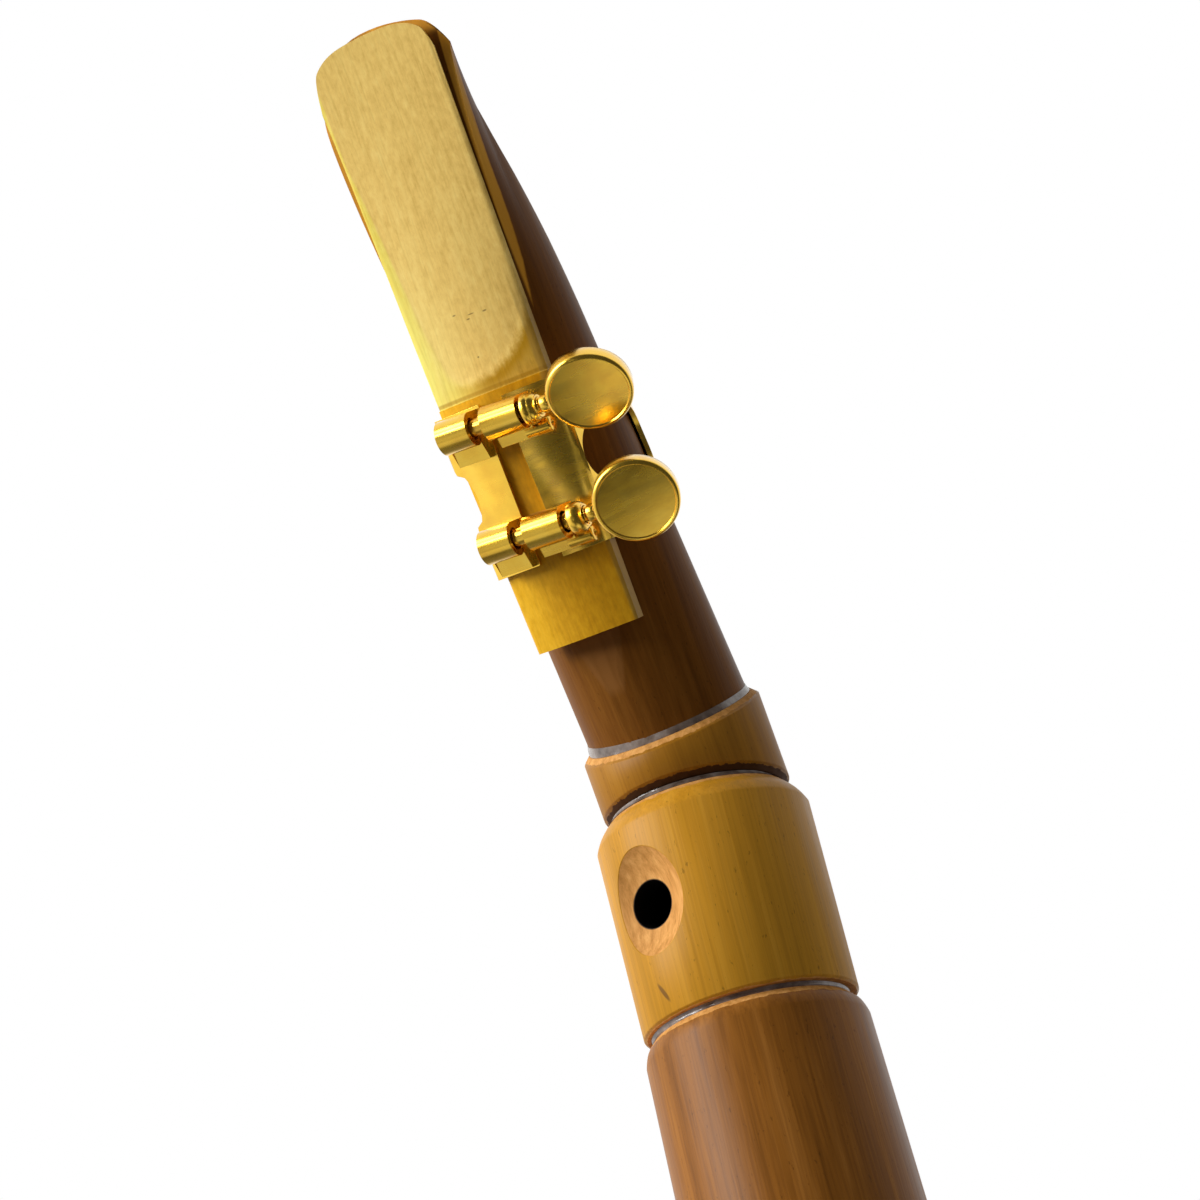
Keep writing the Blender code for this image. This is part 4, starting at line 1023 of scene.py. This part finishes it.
def mouthpiece_section(along):
    """Points of the mouthpiece's outline at one station, as across and height."""
    radius = shank_radius(along)
    centre = -axis_below_table(along)
    top = facing(along)
    chord = max(math.sqrt(max(radius ** 2 - min(top - centre, radius) ** 2, 0.0)), 1.0)
    crown = centre + math.sqrt(radius ** 2 - chord ** 2)
    flat_top = min(top, crown + 0.05)
    rail = max(math.sin(math.pi * (along - RAIL_START) / (RAIL_END - RAIL_START)), 0.0)
    if along < RAIL_START or along > RAIL_END:
        rail = 0.0
    slim = min(max((along - NARROW_START) / (NARROW_END - NARROW_START), 0.0), 1.0)
    narrow = NARROW_SHARE * slim * slim * (3 - 2 * slim)
    halves = {-1: chord + RAIL_LEFT_EXTRA * rail, 1: (chord + RAIL_EXTRA * rail) * (1 - narrow * NARROW_AT_TOP)}
    table_points = []
    for i in range(17):
        across = halves[-1 if i < 8 else 1] * (i / 8 - 1)
        bow = centre + math.sqrt(max(radius ** 2 - across ** 2, (flat_top - centre) ** 2))
        table_points.append((across, min(top, bow)))
    start = math.atan2(chord, crown - centre)
    arc = []
    count = 72
    for i in range(1, count):
        turn = start + (2 * math.pi - 2 * start) * i / count
        share = min(i, count - i) / count * 2
        across = radius * math.sin(turn)
        extra = (RAIL_EXTRA if across > 0 else RAIL_LEFT_EXTRA) * rail
        across += math.copysign(extra * max(1 - share * 3.2, 0.0) ** 2, across)
        height = max(centre + radius * math.cos(turn), beak_back(along, across))
        deep = min(max((top - height) / 4.0, 0.0), 1.0)
        if across > 0:
            across *= 1 - narrow * (NARROW_AT_TOP + (1 - NARROW_AT_TOP) * deep)
        arc.append((across, min(height, flat_top - 0.02)))
    return table_points + arc


def add_mouthpiece(table, surface):
    """The bamboo mouthpiece: round shank, long table with rails, scooped beak and window."""
    end = REED_LENGTH + TIP_OVERHANG
    low = -BUTT_TO_COLLAR + JOINT_GAP / 2
    stations = [low, low + 0.15, low + 1.0] + [low + 2.0 + (60.0 - low - 2.0) * i / 44 for i in range(45)]
    stations += [60.0 + (end - 60.0) * i / 24 for i in range(1, 25)]
    lean = math.tan(TABLE_INCLINE)
    rows = []
    for number, station in enumerate(stations):
        row = []
        square = max(1.0 - max(station, 0.0) / 50.0, 0.0)
        inset = 0.15 if number == 0 else 0.0
        centre = -axis_below_table(station)
        for across, height in mouthpiece_section(station):
            fall = tip_fall(across, shank_radius(end), REED_TIP_ARC)
            fall += TIP_CORNER_FALL * max(abs(across) - TIP_CORNER, 0.0) ** 2
            fall += TIP_LEFT_FALL * max(-across - 1.0, 0.0) ** 2.2
            along = station - fall * max((station - 56.0) / (end - 56.0), 0.0) ** 2
            along -= (height - centre) * lean * square
            shrink = 1 - inset / SHANK_RADIUS
            row.append(table.place(along, across * shrink, centre + (height - centre) * shrink))
        rows.append(row)
    rows = rows[::-1]
    item = new_object("bamboo_mouthpiece", loft(rows, capped=True), 32.0)
    cut_bore_and_window(table, item)
    dress(item, surface, "instrument", "dark_bamboo", ["mouthpiece"], bevel=0.16)
    return item


def cut_bore_and_window(table, item):
    """Cut the bore up from the shank and the window under the reed."""
    axis_point = table.place(0.0, 0.0, -axis_below_table(0.0))
    start = axis_point + table.down * (BUTT_TO_COLLAR + 3.0) * MM
    length = (BUTT_TO_COLLAR + 3.0 + REED_LENGTH - WINDOW_LENGTH * 0.76) * MM
    across = table.side
    other = table.down.cross(across)
    rows = []
    for reach in (0.0, length):
        centre = start - table.down * reach
        turns = [2 * math.pi * i / 48 for i in range(48)]
        rows.append([centre + (across * math.cos(t) + other * math.sin(t)) * SHANK_BORE * MM for t in turns])
    bore = new_object("bore", loft(rows, capped=True))
    end = REED_LENGTH + TIP_OVERHANG - REED_TIP_ARC - 1.6
    start_along = end - WINDOW_LENGTH
    outline = [
        (start_along, 5.0), (start_along, -WINDOW_DEPTH), (start_along + WINDOW_LENGTH * 0.27, -WINDOW_DEPTH * 1.1),
        (start_along + WINDOW_LENGTH * 0.6, -WINDOW_DEPTH * 0.93),
        (end - WINDOW_LENGTH * 0.12, facing(end) - TIP_OPENING * 0.6),
        (end, facing(end) - TIP_OPENING * 0.25), (end, 5.0),
    ]
    sides = (-WINDOW_HALF_WIDTH, WINDOW_HALF_WIDTH)
    rows = [[table.place(along, side, height) for along, height in outline] for side in sides]
    window = new_object("window", loft(rows, capped=True))
    combine(item, [bore, window], "DIFFERENCE")
    item.data.shade_smooth()
    item.data.set_sharp_from_angle(angle=math.radians(32.0))


def band_point(side, share, along, lift):
    """Across and height on the band's section: share runs 0 to 1 on the plate, to 2 down the corner and to 3 under."""
    half = reed_half_width(along) + SEAT_GAP + lift
    centre = -axis_below_table(along)
    reach = shank_radius(BAND_LOW) + BAND_STANDOFF + lift
    corner = REED_SIDE_HEIGHT + SEAT_GAP + lift - BAND_CORNER_DROP
    slot = SLOT_RIGHT if side > 0 else -SLOT_LEFT
    if share <= 1.0:
        across = slot + (half - slot) * share
        drop = BAND_CORNER_DROP * max((share - 0.93) / 0.07, 0.0) ** 2
        if side > 0:
            beyond = min(max(along - WINDOW_MID, -PLATE_TWIST_REACH), PLATE_TWIST_REACH)
            drop += PLATE_TWIST * (across - 4.0) * beyond * (1 - (beyond / PLATE_TWIST_REACH) ** 2)
        return side * across, bark_top(along, across) + SEAT_GAP + lift - drop
    corner_turn = math.atan2(half, corner - centre)
    touch = corner_turn + math.acos(min(reach / math.hypot(half, corner - centre), 1.0))
    first = (reach * math.sin(touch), centre + reach * math.cos(touch))
    if share <= 2.0:
        part = share - 1.0
        return side * (half + (first[0] - half) * part), corner + (first[1] - corner) * part
    turn = touch + (math.pi - touch) * (share - 2.0)
    return side * reach * math.sin(turn), centre + reach * math.cos(turn)


def share_at_height(side, height):
    """Where on the section the band's outside has this height, found by halving."""
    low, high = 0.0, 3.0
    for _ in range(40):
        middle = (low + high) / 2
        if band_point(side, middle, WINDOW_MID, BAND_SHEET)[1] > height:
            low = middle
        else:
            high = middle
    return low


def band_columns(side):
    """Shares of the section's points on one side and half the window's length at each."""
    top, half_length, power = WINDOWS[side]
    half_depth = (top - WINDOW_BOTTOM) / 2
    columns = {}
    for i in range(61):
        level = math.cos(math.pi * i / 60)
        share = share_at_height(side, top - half_depth + half_depth * level)
        columns[share] = min(half_length * max(1 - abs(level) ** power, 0.0) ** (1 / power), WINDOW_LONGEST)
    first, last = min(columns), max(columns)
    for i in range(14):
        columns.setdefault(first * i / 14, 0.0)
    for i in range(1, 17):
        columns.setdefault(last + (3.0 - last) * i / 16, 0.0)
    return sorted(columns.items())


def add_band(table, surface):
    """The sprung brass band round reed and mouthpiece: slotted in front, a curved window in each side."""
    builder = bmesh.new()
    count = 9
    ends = (BAND_LOW, BAND_LOW + BAND_WIDTH)
    columns = [(-1, share, half) for share, half in band_columns(-1)]
    columns += [(1, share, half) for share, half in band_columns(1)[::-1][1:]]
    sheets = []
    for lift in (BAND_SHEET, 0.0):
        sheet = []
        for side, share, half in columns:
            strips = []
            for edge, window in ((ends[0], WINDOW_MID - half), (ends[1], WINDOW_MID + half)):
                strip = []
                for i in range(count + 1):
                    along = edge + (window - edge) * i / count
                    strip.append(builder.verts.new(table.place(along, *band_point(side, share, along, lift))))
                strips.append(strip)
            if half < 1e-6:
                builder.verts.remove(strips[1][count])
                strips[1][count] = strips[0][count]
            sheet.append(strips)
        sheets.append(sheet)
    pairs = {}
    for outer, inner in zip(*sheets):
        for k in (0, 1):
            for a, b in zip(outer[k], inner[k]):
                pairs[a] = b
    for sheet in sheets:
        for first, second in zip(sheet, sheet[1:]):
            for k in (0, 1):
                for i in range(count):
                    builder.faces.new((first[k][i], first[k][i + 1], second[k][i + 1], second[k][i]))
    for edge in list(builder.edges):
        a, b = edge.verts
        if len(edge.link_faces) == 1 and a in pairs and b in pairs:
            builder.faces.new((a, b, pairs[b], pairs[a]))
    item = new_object("brass_band", builder, 45.0)
    dress(item, surface, "ligature", "brass", ["ligature_band"], bevel=0.13)


def band_outside(along, across):
    """Height of the band's outer face over the reed."""
    return bark_top(along, across) + SEAT_GAP + BAND_SHEET


def add_post(name, row, start, length, surface, has_toe):
    """A soldered post: a round barrel with a hole, on a foot that spreads in a ramp to the butt side."""
    steps = 10
    reach = FOOT_LENGTH - (RIGHT_FOOT_LESS if has_toe else 0.0)
    sections = []
    for step in range(steps + 1):
        across = start + length * step / steps
        seat = band_outside(row.along, across) - SCREW_HEIGHT - 0.02
        outline = []
        for i in range(33):
            turn = math.radians(RAMP_TURN * (1 - i / 32))
            outline.append((BARREL_RADIUS * math.cos(turn), BARREL_RADIUS * math.sin(turn)))
        outline += [(BARREL_RADIUS, seat * 0.5), (BARREL_RADIUS, seat)]
        outline += [(BARREL_RADIUS - (reach + BARREL_RADIUS) * i / 9, seat) for i in range(1, 10)]
        outline += [(-reach, max(FOOT_TOP, seat + 0.3))]
        first = outline[0]
        foot = outline[-1]
        outline += [(foot[0] + (first[0] - foot[0]) * i / 5, foot[1] + (first[1] - foot[1]) * i / 5) for i in range(1, 5)]
        sections.append((across, outline))
    size = len(sections[0][1])
    bore = []
    for u, v in sections[0][1]:
        turn = math.atan2(v, u)
        bore.append(((SCREW_RADIUS + 0.3) * math.cos(turn), (SCREW_RADIUS + 0.3) * math.sin(turn)))
    rows = [[row.place(u, across, v) for u, v in outline] for across, outline in sections]
    rows.append([row.place(u, start + length, v) for u, v in bore])
    rows.append([row.place(u, start, v) for u, v in bore])
    item = new_object(name, loft(rows, closed_along=True), 40.0)
    node = name.replace("brass_", "")
    replaced = [node]
    dress(item, surface, "ligature", "brass", replaced, bevel=0.3)
    if has_toe:
        add_toe(name, row, start + length, surface)
    return size


def add_toe(name, row, start, surface):
    """The foot's round tongue, which runs on under the collar and ends in a dimple."""
    seat = band_outside(row.along, start) - SCREW_HEIGHT
    radius = 0.95
    middle = -2.25
    height = seat + radius - 0.1
    end = start + 2.0
    profile = [
        (start - 1.2, radius), (end - 0.3, radius), (end - 0.12, radius * 0.95), (end, radius * 0.78),
        (end, radius * 0.42), (end - 0.2, radius * 0.34), (end - 0.45, radius * 0.2),
    ]

    def place(along, across, above):
        return row.place(middle + along, across, height + above)

    item = new_object(name + "_toe", lathe(profile, place, 40), 40.0)
    dress(item, surface, "ligature", "brass")


def add_collar(name, row, start, upper, surface, body):
    """The loose shoulder that the screw presses on the barrel: two rings above, one round one below."""
    bore = SCREW_RADIUS + 0.3
    size = 1.85
    end = COLLAR_LENGTH
    if upper:
        shape = [
            (0.0, size - 0.3), (0.1, size - 0.1), (0.25, size), (0.75, size), (0.88, size - 0.08),
            (0.98, size - 0.16), (1.1, size - 0.14), (1.35, size - 0.2), (1.6, size - 0.36),
            (1.8, size - 0.6), (end, size - 0.8),
        ]
    else:
        shape = [
            (0.0, size - 0.35), (0.1, size - 0.14), (0.3, size), (0.9, size + 0.02), (1.3, size - 0.05),
            (1.6, size - 0.25), (1.8, size - 0.5), (end, size - 0.75),
        ]
    profile = [(start, bore)] + [(start + reach, radius) for reach, radius in shape] + [(start + end, bore)]
    item = new_object(name, lathe(profile, row.place, 72, closed=True), 50.0)
    dress(item, surface, body, "brass", [name.replace("brass_", "")])


def add_screw(name, row, start, disc_turn, disc_bend, surface, body):
    """The thumb screw: shaft, round neck bead and a coin-like disc with a rounded rim and sunk face."""
    collar_end = start + COLLAR_LENGTH + SEAT_GAP
    neck_end = collar_end + 1.2
    slim = SCREW_RADIUS * 0.8
    bead = 1.05
    profile = [(-5.1, SCREW_RADIUS * 0.7), (-4.8, SCREW_RADIUS), (collar_end - 0.1, SCREW_RADIUS), (collar_end, slim)]
    for i in range(13):
        turn = math.pi * i / 12
        profile.append((collar_end + 0.6 - 0.6 * math.cos(turn), slim + (bead - slim) * math.sin(turn) ** 0.5))
    profile += [(neck_end + 0.15, slim), (neck_end + 1.2, slim)]
    shaft = new_object(name, lathe(profile, row.place, 40), 50.0)
    face = row.out * math.cos(disc_turn) + row.tip * math.sin(disc_turn)
    face = (face * math.cos(disc_bend) + row.side * math.sin(disc_bend)).normalized()
    over = face.cross(row.side).normalized()
    beside = over.cross(face)
    centre = row.place(0.0, neck_end + DISC_RADIUS, 0.0)
    half = DISC_THICKNESS / 2
    inner = 0.905 * DISC_RADIUS
    rim = DISC_RADIUS - inner
    disc_profile = [(-half + 0.1, DISC_RADIUS * 0.3), (-half, DISC_RADIUS * 0.6), (-half, DISC_RADIUS * 0.8)]
    for i in range(9):
        turn = math.radians(-90 + 60 * i / 8)
        disc_profile.append((-half + 0.55 + 0.55 * math.sin(turn), DISC_RADIUS - 0.55 + 0.55 * math.cos(turn) * 1.0))
    disc_profile.append((0.0, DISC_RADIUS))
    for i in range(11):
        turn = math.radians(90 * i / 10)
        disc_profile.append((half - rim + rim * math.sin(turn), inner + rim * math.cos(turn)))
    for i in range(9):
        share = 1 - i / 9
        dome = DISC_DOME * (1 - share * share)
        disc_profile.append((half - DISC_SUNK + dome, (inner - 0.12) * share))
    disc_profile.append((half - DISC_SUNK + DISC_DOME, 0.05))

    def place(along, across, above):
        return centre + (beside * along + over * above + face * across) * MM

    disc = new_object(name + "_disc", lathe(disc_profile, place, 112), 40.0)
    combine(shaft, [disc], "UNION")
    shaft.data.shade_smooth()
    shaft.data.set_sharp_from_angle(angle=math.radians(38.0))
    dress(shaft, surface, body, "brass", [name.replace("brass_", "")])


def add_ligature(table):
    """Band, posts, collars and screws of the ligature."""
    hinges = {joint["name"]: joint for joint in frame["joints"] if joint["type"] == "hinge"}
    turn = table.turn()
    across = brass("band_brass", turn, (0.12, 1.0, 1.0))
    plain = brass("post_brass", turn, (0.15, 1.0, 1.0))
    faces = brass("screw_brass", turn, (0.1, 1.0, 1.0), 1.0)
    add_band(table, across)
    angles = {"upper": (-31.0, 9.5), "lower": (-20.6, 15.0)}
    for level, (disc_turn, disc_bend) in angles.items():
        row = Row(table, hinges[level + "_screw_turn"])
        add_post(f"brass_{level}_left_post", row, *LEFT_POST, plain, False)
        add_post(f"brass_{level}_right_post", row, *RIGHT_POST, plain, True)
        start = sum(RIGHT_POST) + SEAT_GAP + (LOWER_COLLAR_LIFT if level == "lower" else 0.0)
        add_collar(f"brass_{level}_screw_collar", row, start, level == "upper", plain, level + "_collar")
        radians = (math.radians(disc_turn), math.radians(disc_bend))
        add_screw(f"brass_{level}_thumb_screw", row, start, *radians, faces, level + "_screw")


def add_camera():
    """The camera at the photograph's viewing angle."""
    data = bpy.data.cameras.new("camera")
    data.lens = LENS
    data.sensor_width = SENSOR
    data.clip_end = 20.0
    item = bpy.data.objects.new("camera", data)
    turn = Matrix((CAMERA_RIGHT, CAMERA_UP, CAMERA_BACK)).transposed().to_4x4()
    item.matrix_world = Matrix.Translation(CAMERA_PLACE) @ turn
    bpy.context.scene.collection.objects.link(item)
    bpy.context.scene.camera = item


def add_lamp(name, direction, distance, size, power):
    """A soft square lamp on one side of the neck; its direction is right, up and back of the camera."""
    target = Vector((0.0, 0.0, 0.24))
    right, up, back = direction
    way = (CAMERA_RIGHT * right + CAMERA_UP * up + CAMERA_BACK * back).normalized()
    data = bpy.data.lights.new(name, "AREA")
    data.shape = "RECTANGLE"
    data.size, data.size_y = size
    data.energy = power
    item = bpy.data.objects.new(name, data)
    item.location = target + way * distance
    item.rotation_euler = (-way).to_track_quat("-Z", "Y").to_euler()
    bpy.context.scene.collection.objects.link(item)
    return item


def add_world(table):
    """A pale studio: white where it is seen and behind, dark round the camera in reflections."""
    world = bpy.data.worlds.new("studio")
    world.use_nodes = True
    bpy.context.scene.world = world
    nodes = Nodes(world.node_tree)
    background = world.node_tree.nodes["Background"]
    way = nodes.add("ShaderNodeTexCoord").outputs["Generated"]

    def towards(direction):
        return nodes.vector("DOT_PRODUCT", way, direction.normalized()).outputs["Value"]

    backdrop = nodes.fade(towards(-CAMERA_BACK), -0.3, 0.2)
    backdrop = nodes.math("MULTIPLY", backdrop, nodes.fade(towards(-table.tip), 0.55, 0.85, 1.0, DARK_BELOW))
    shown = nodes.math("ADD", backdrop, DARK_SIDE)
    for (across, along, above), wide, narrow, strength in SOFT_BOXES:
        direction = table.side * across + table.tip * along + table.out * above
        low, high = math.cos(math.radians(wide)), math.cos(math.radians(narrow))
        shown = nodes.math("ADD", shown, nodes.fade(towards(direction), low, high, 0.0, strength))
    path = nodes.add("ShaderNodeLightPath")
    mirrored = nodes.math("MAXIMUM", path.outputs["Is Glossy Ray"], path.outputs["Is Transmission Ray"])
    plain = nodes.math("MULTIPLY", nodes.math("SUBTRACT", 1.0, mirrored), WORLD_LIGHT)
    strength = nodes.math("MULTIPLY_ADD", mirrored, nodes.math("MINIMUM", shown, 1.0), plain)
    strength = nodes.math("MAXIMUM", strength, path.outputs["Is Camera Ray"])
    background.inputs["Color"].default_value = (1.0, 1.0, 1.0, 1.0)
    world.node_tree.links.new(strength, background.inputs["Strength"])


def add_floor():
    """A plain pale floor just below the instrument."""
    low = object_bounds()[0]
    size = 3.0
    mesh = bpy.data.meshes.new("floor")
    corners = [(-size, -size), (size, -size), (size, size), (-size, size)]
    mesh.from_pydata([(x, y, low[2] - 0.002) for x, y in corners], [], [(0, 1, 2, 3)])
    floor = bpy.data.objects.new("floor", mesh)
    bpy.context.scene.collection.objects.link(floor)
    surface, shader, nodes = new_surface("floor_white")
    place = nodes.add("ShaderNodeTexCoord").outputs["Object"]
    tone = nodes.noise(place, 9.0, 3.0, 0.5)
    colour = nodes.ramp(tone, ((0.3, (0.80, 0.80, 0.80)), (0.7, (0.84, 0.84, 0.84))))
    path = nodes.add("ShaderNodeLightPath")
    colour = nodes.mix(path.outputs["Is Camera Ray"], FLOOR_BOUNCE, colour)
    nodes.wire(shader, Base_Color=colour, Roughness=0.8)
    clear = nodes.add("ShaderNodeBsdfTransparent")
    shown = nodes.add("ShaderNodeMixShader", {0: path.outputs["Is Glossy Ray"], 1: shader.outputs[0], 2: clear.outputs[0]})
    output = surface.node_tree.nodes["Material Output"]
    surface.node_tree.links.new(shown.outputs[0], output.inputs["Surface"])
    floor.data.materials.append(surface)


# Light from the world on dull surfaces, and how dark metal sees the camera's side
WORLD_LIGHT = 0.17
DARK_SIDE = 0.07
DARK_BELOW = 0.12
FLOOR_BOUNCE = (0.25, 0.25, 0.25)

# Soft boxes that only reflections see: side, tip and outward way, wide and narrow angle, strength
SOFT_BOXES = (
    ((-0.757, -0.03, 0.66), 32.0, 14.0, 0.85),
    ((-0.07, -0.03, 0.99), 7.0, 2.0, 1.0),
    ((0.16, -0.88, 0.44), 25.0, 12.0, 0.75),
    ((-0.42, -0.54, 0.73), 18.0, 8.0, 0.6),
)

# Bamboo colours, dark, middle and light, as linear values
DARK = ((0.105, 0.034, 0.004), (0.18, 0.062, 0.007), (0.26, 0.100, 0.014))
OLIVE = ((0.28, 0.115, 0.008), (0.41, 0.175, 0.013), (0.52, 0.24, 0.025))
LIGHT = ((0.46, 0.215, 0.012), (0.65, 0.30, 0.020), (0.78, 0.40, 0.045))
BODY = ((0.20, 0.070, 0.007), (0.31, 0.112, 0.012), (0.44, 0.175, 0.028))

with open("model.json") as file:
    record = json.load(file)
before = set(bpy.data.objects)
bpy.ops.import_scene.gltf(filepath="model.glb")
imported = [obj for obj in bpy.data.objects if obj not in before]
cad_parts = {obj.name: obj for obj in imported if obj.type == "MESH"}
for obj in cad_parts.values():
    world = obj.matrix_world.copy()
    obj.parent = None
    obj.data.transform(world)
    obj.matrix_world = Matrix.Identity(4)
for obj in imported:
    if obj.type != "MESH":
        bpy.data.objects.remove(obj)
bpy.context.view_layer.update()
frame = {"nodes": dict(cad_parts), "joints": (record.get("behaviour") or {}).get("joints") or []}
bpy.context.scene.view_settings.view_transform = "Standard"

table = Table(frame["nodes"]["reed"])
add_camera()
add_world(table)
add_floor()
add_lamp("key", (-0.94, 0.28, 0.10), 1.15, (0.75, 0.75), 16.5)
add_lamp("sparkle", (-0.838, 0.28, 0.482), 1.15, (0.16, 0.16), 1.2)
fill = add_lamp("fill", (0.85, 0.30, 0.22), 1.15, (1.0, 1.0), 1.5)
fill.visible_glossy = False

tubes = all_tubes()
looks = {"neck_collar": (OLIVE, 0.8, 0.12), "neck_tube": (LIGHT, 0.75, 0.12)}
for number, tube in enumerate(tubes):
    colours, contrast, fibre_depth = looks.get(tube.name, (BODY, 0.9, 0.2))
    add_tube(tube, bamboo(tube, colours, contrast, fibre_depth, 0.7 + number))
dried = glue()
upper_end = (MOUTHPIECE_BEND, shank_radius(-BUTT_TO_COLLAR), MOUTHPIECE_BEND)
for number, tube in enumerate(tubes, 1):
    add_glue(f"dried_glue_bead_{number}", upper_end, tube, dried, number)
    upper_end = (tube.angle, tube.radii[1], tube.cuts[1])
add_mouthpiece(table, mouthpiece_bamboo(table))
add_reed(table, cane(table))
add_ligature(table)
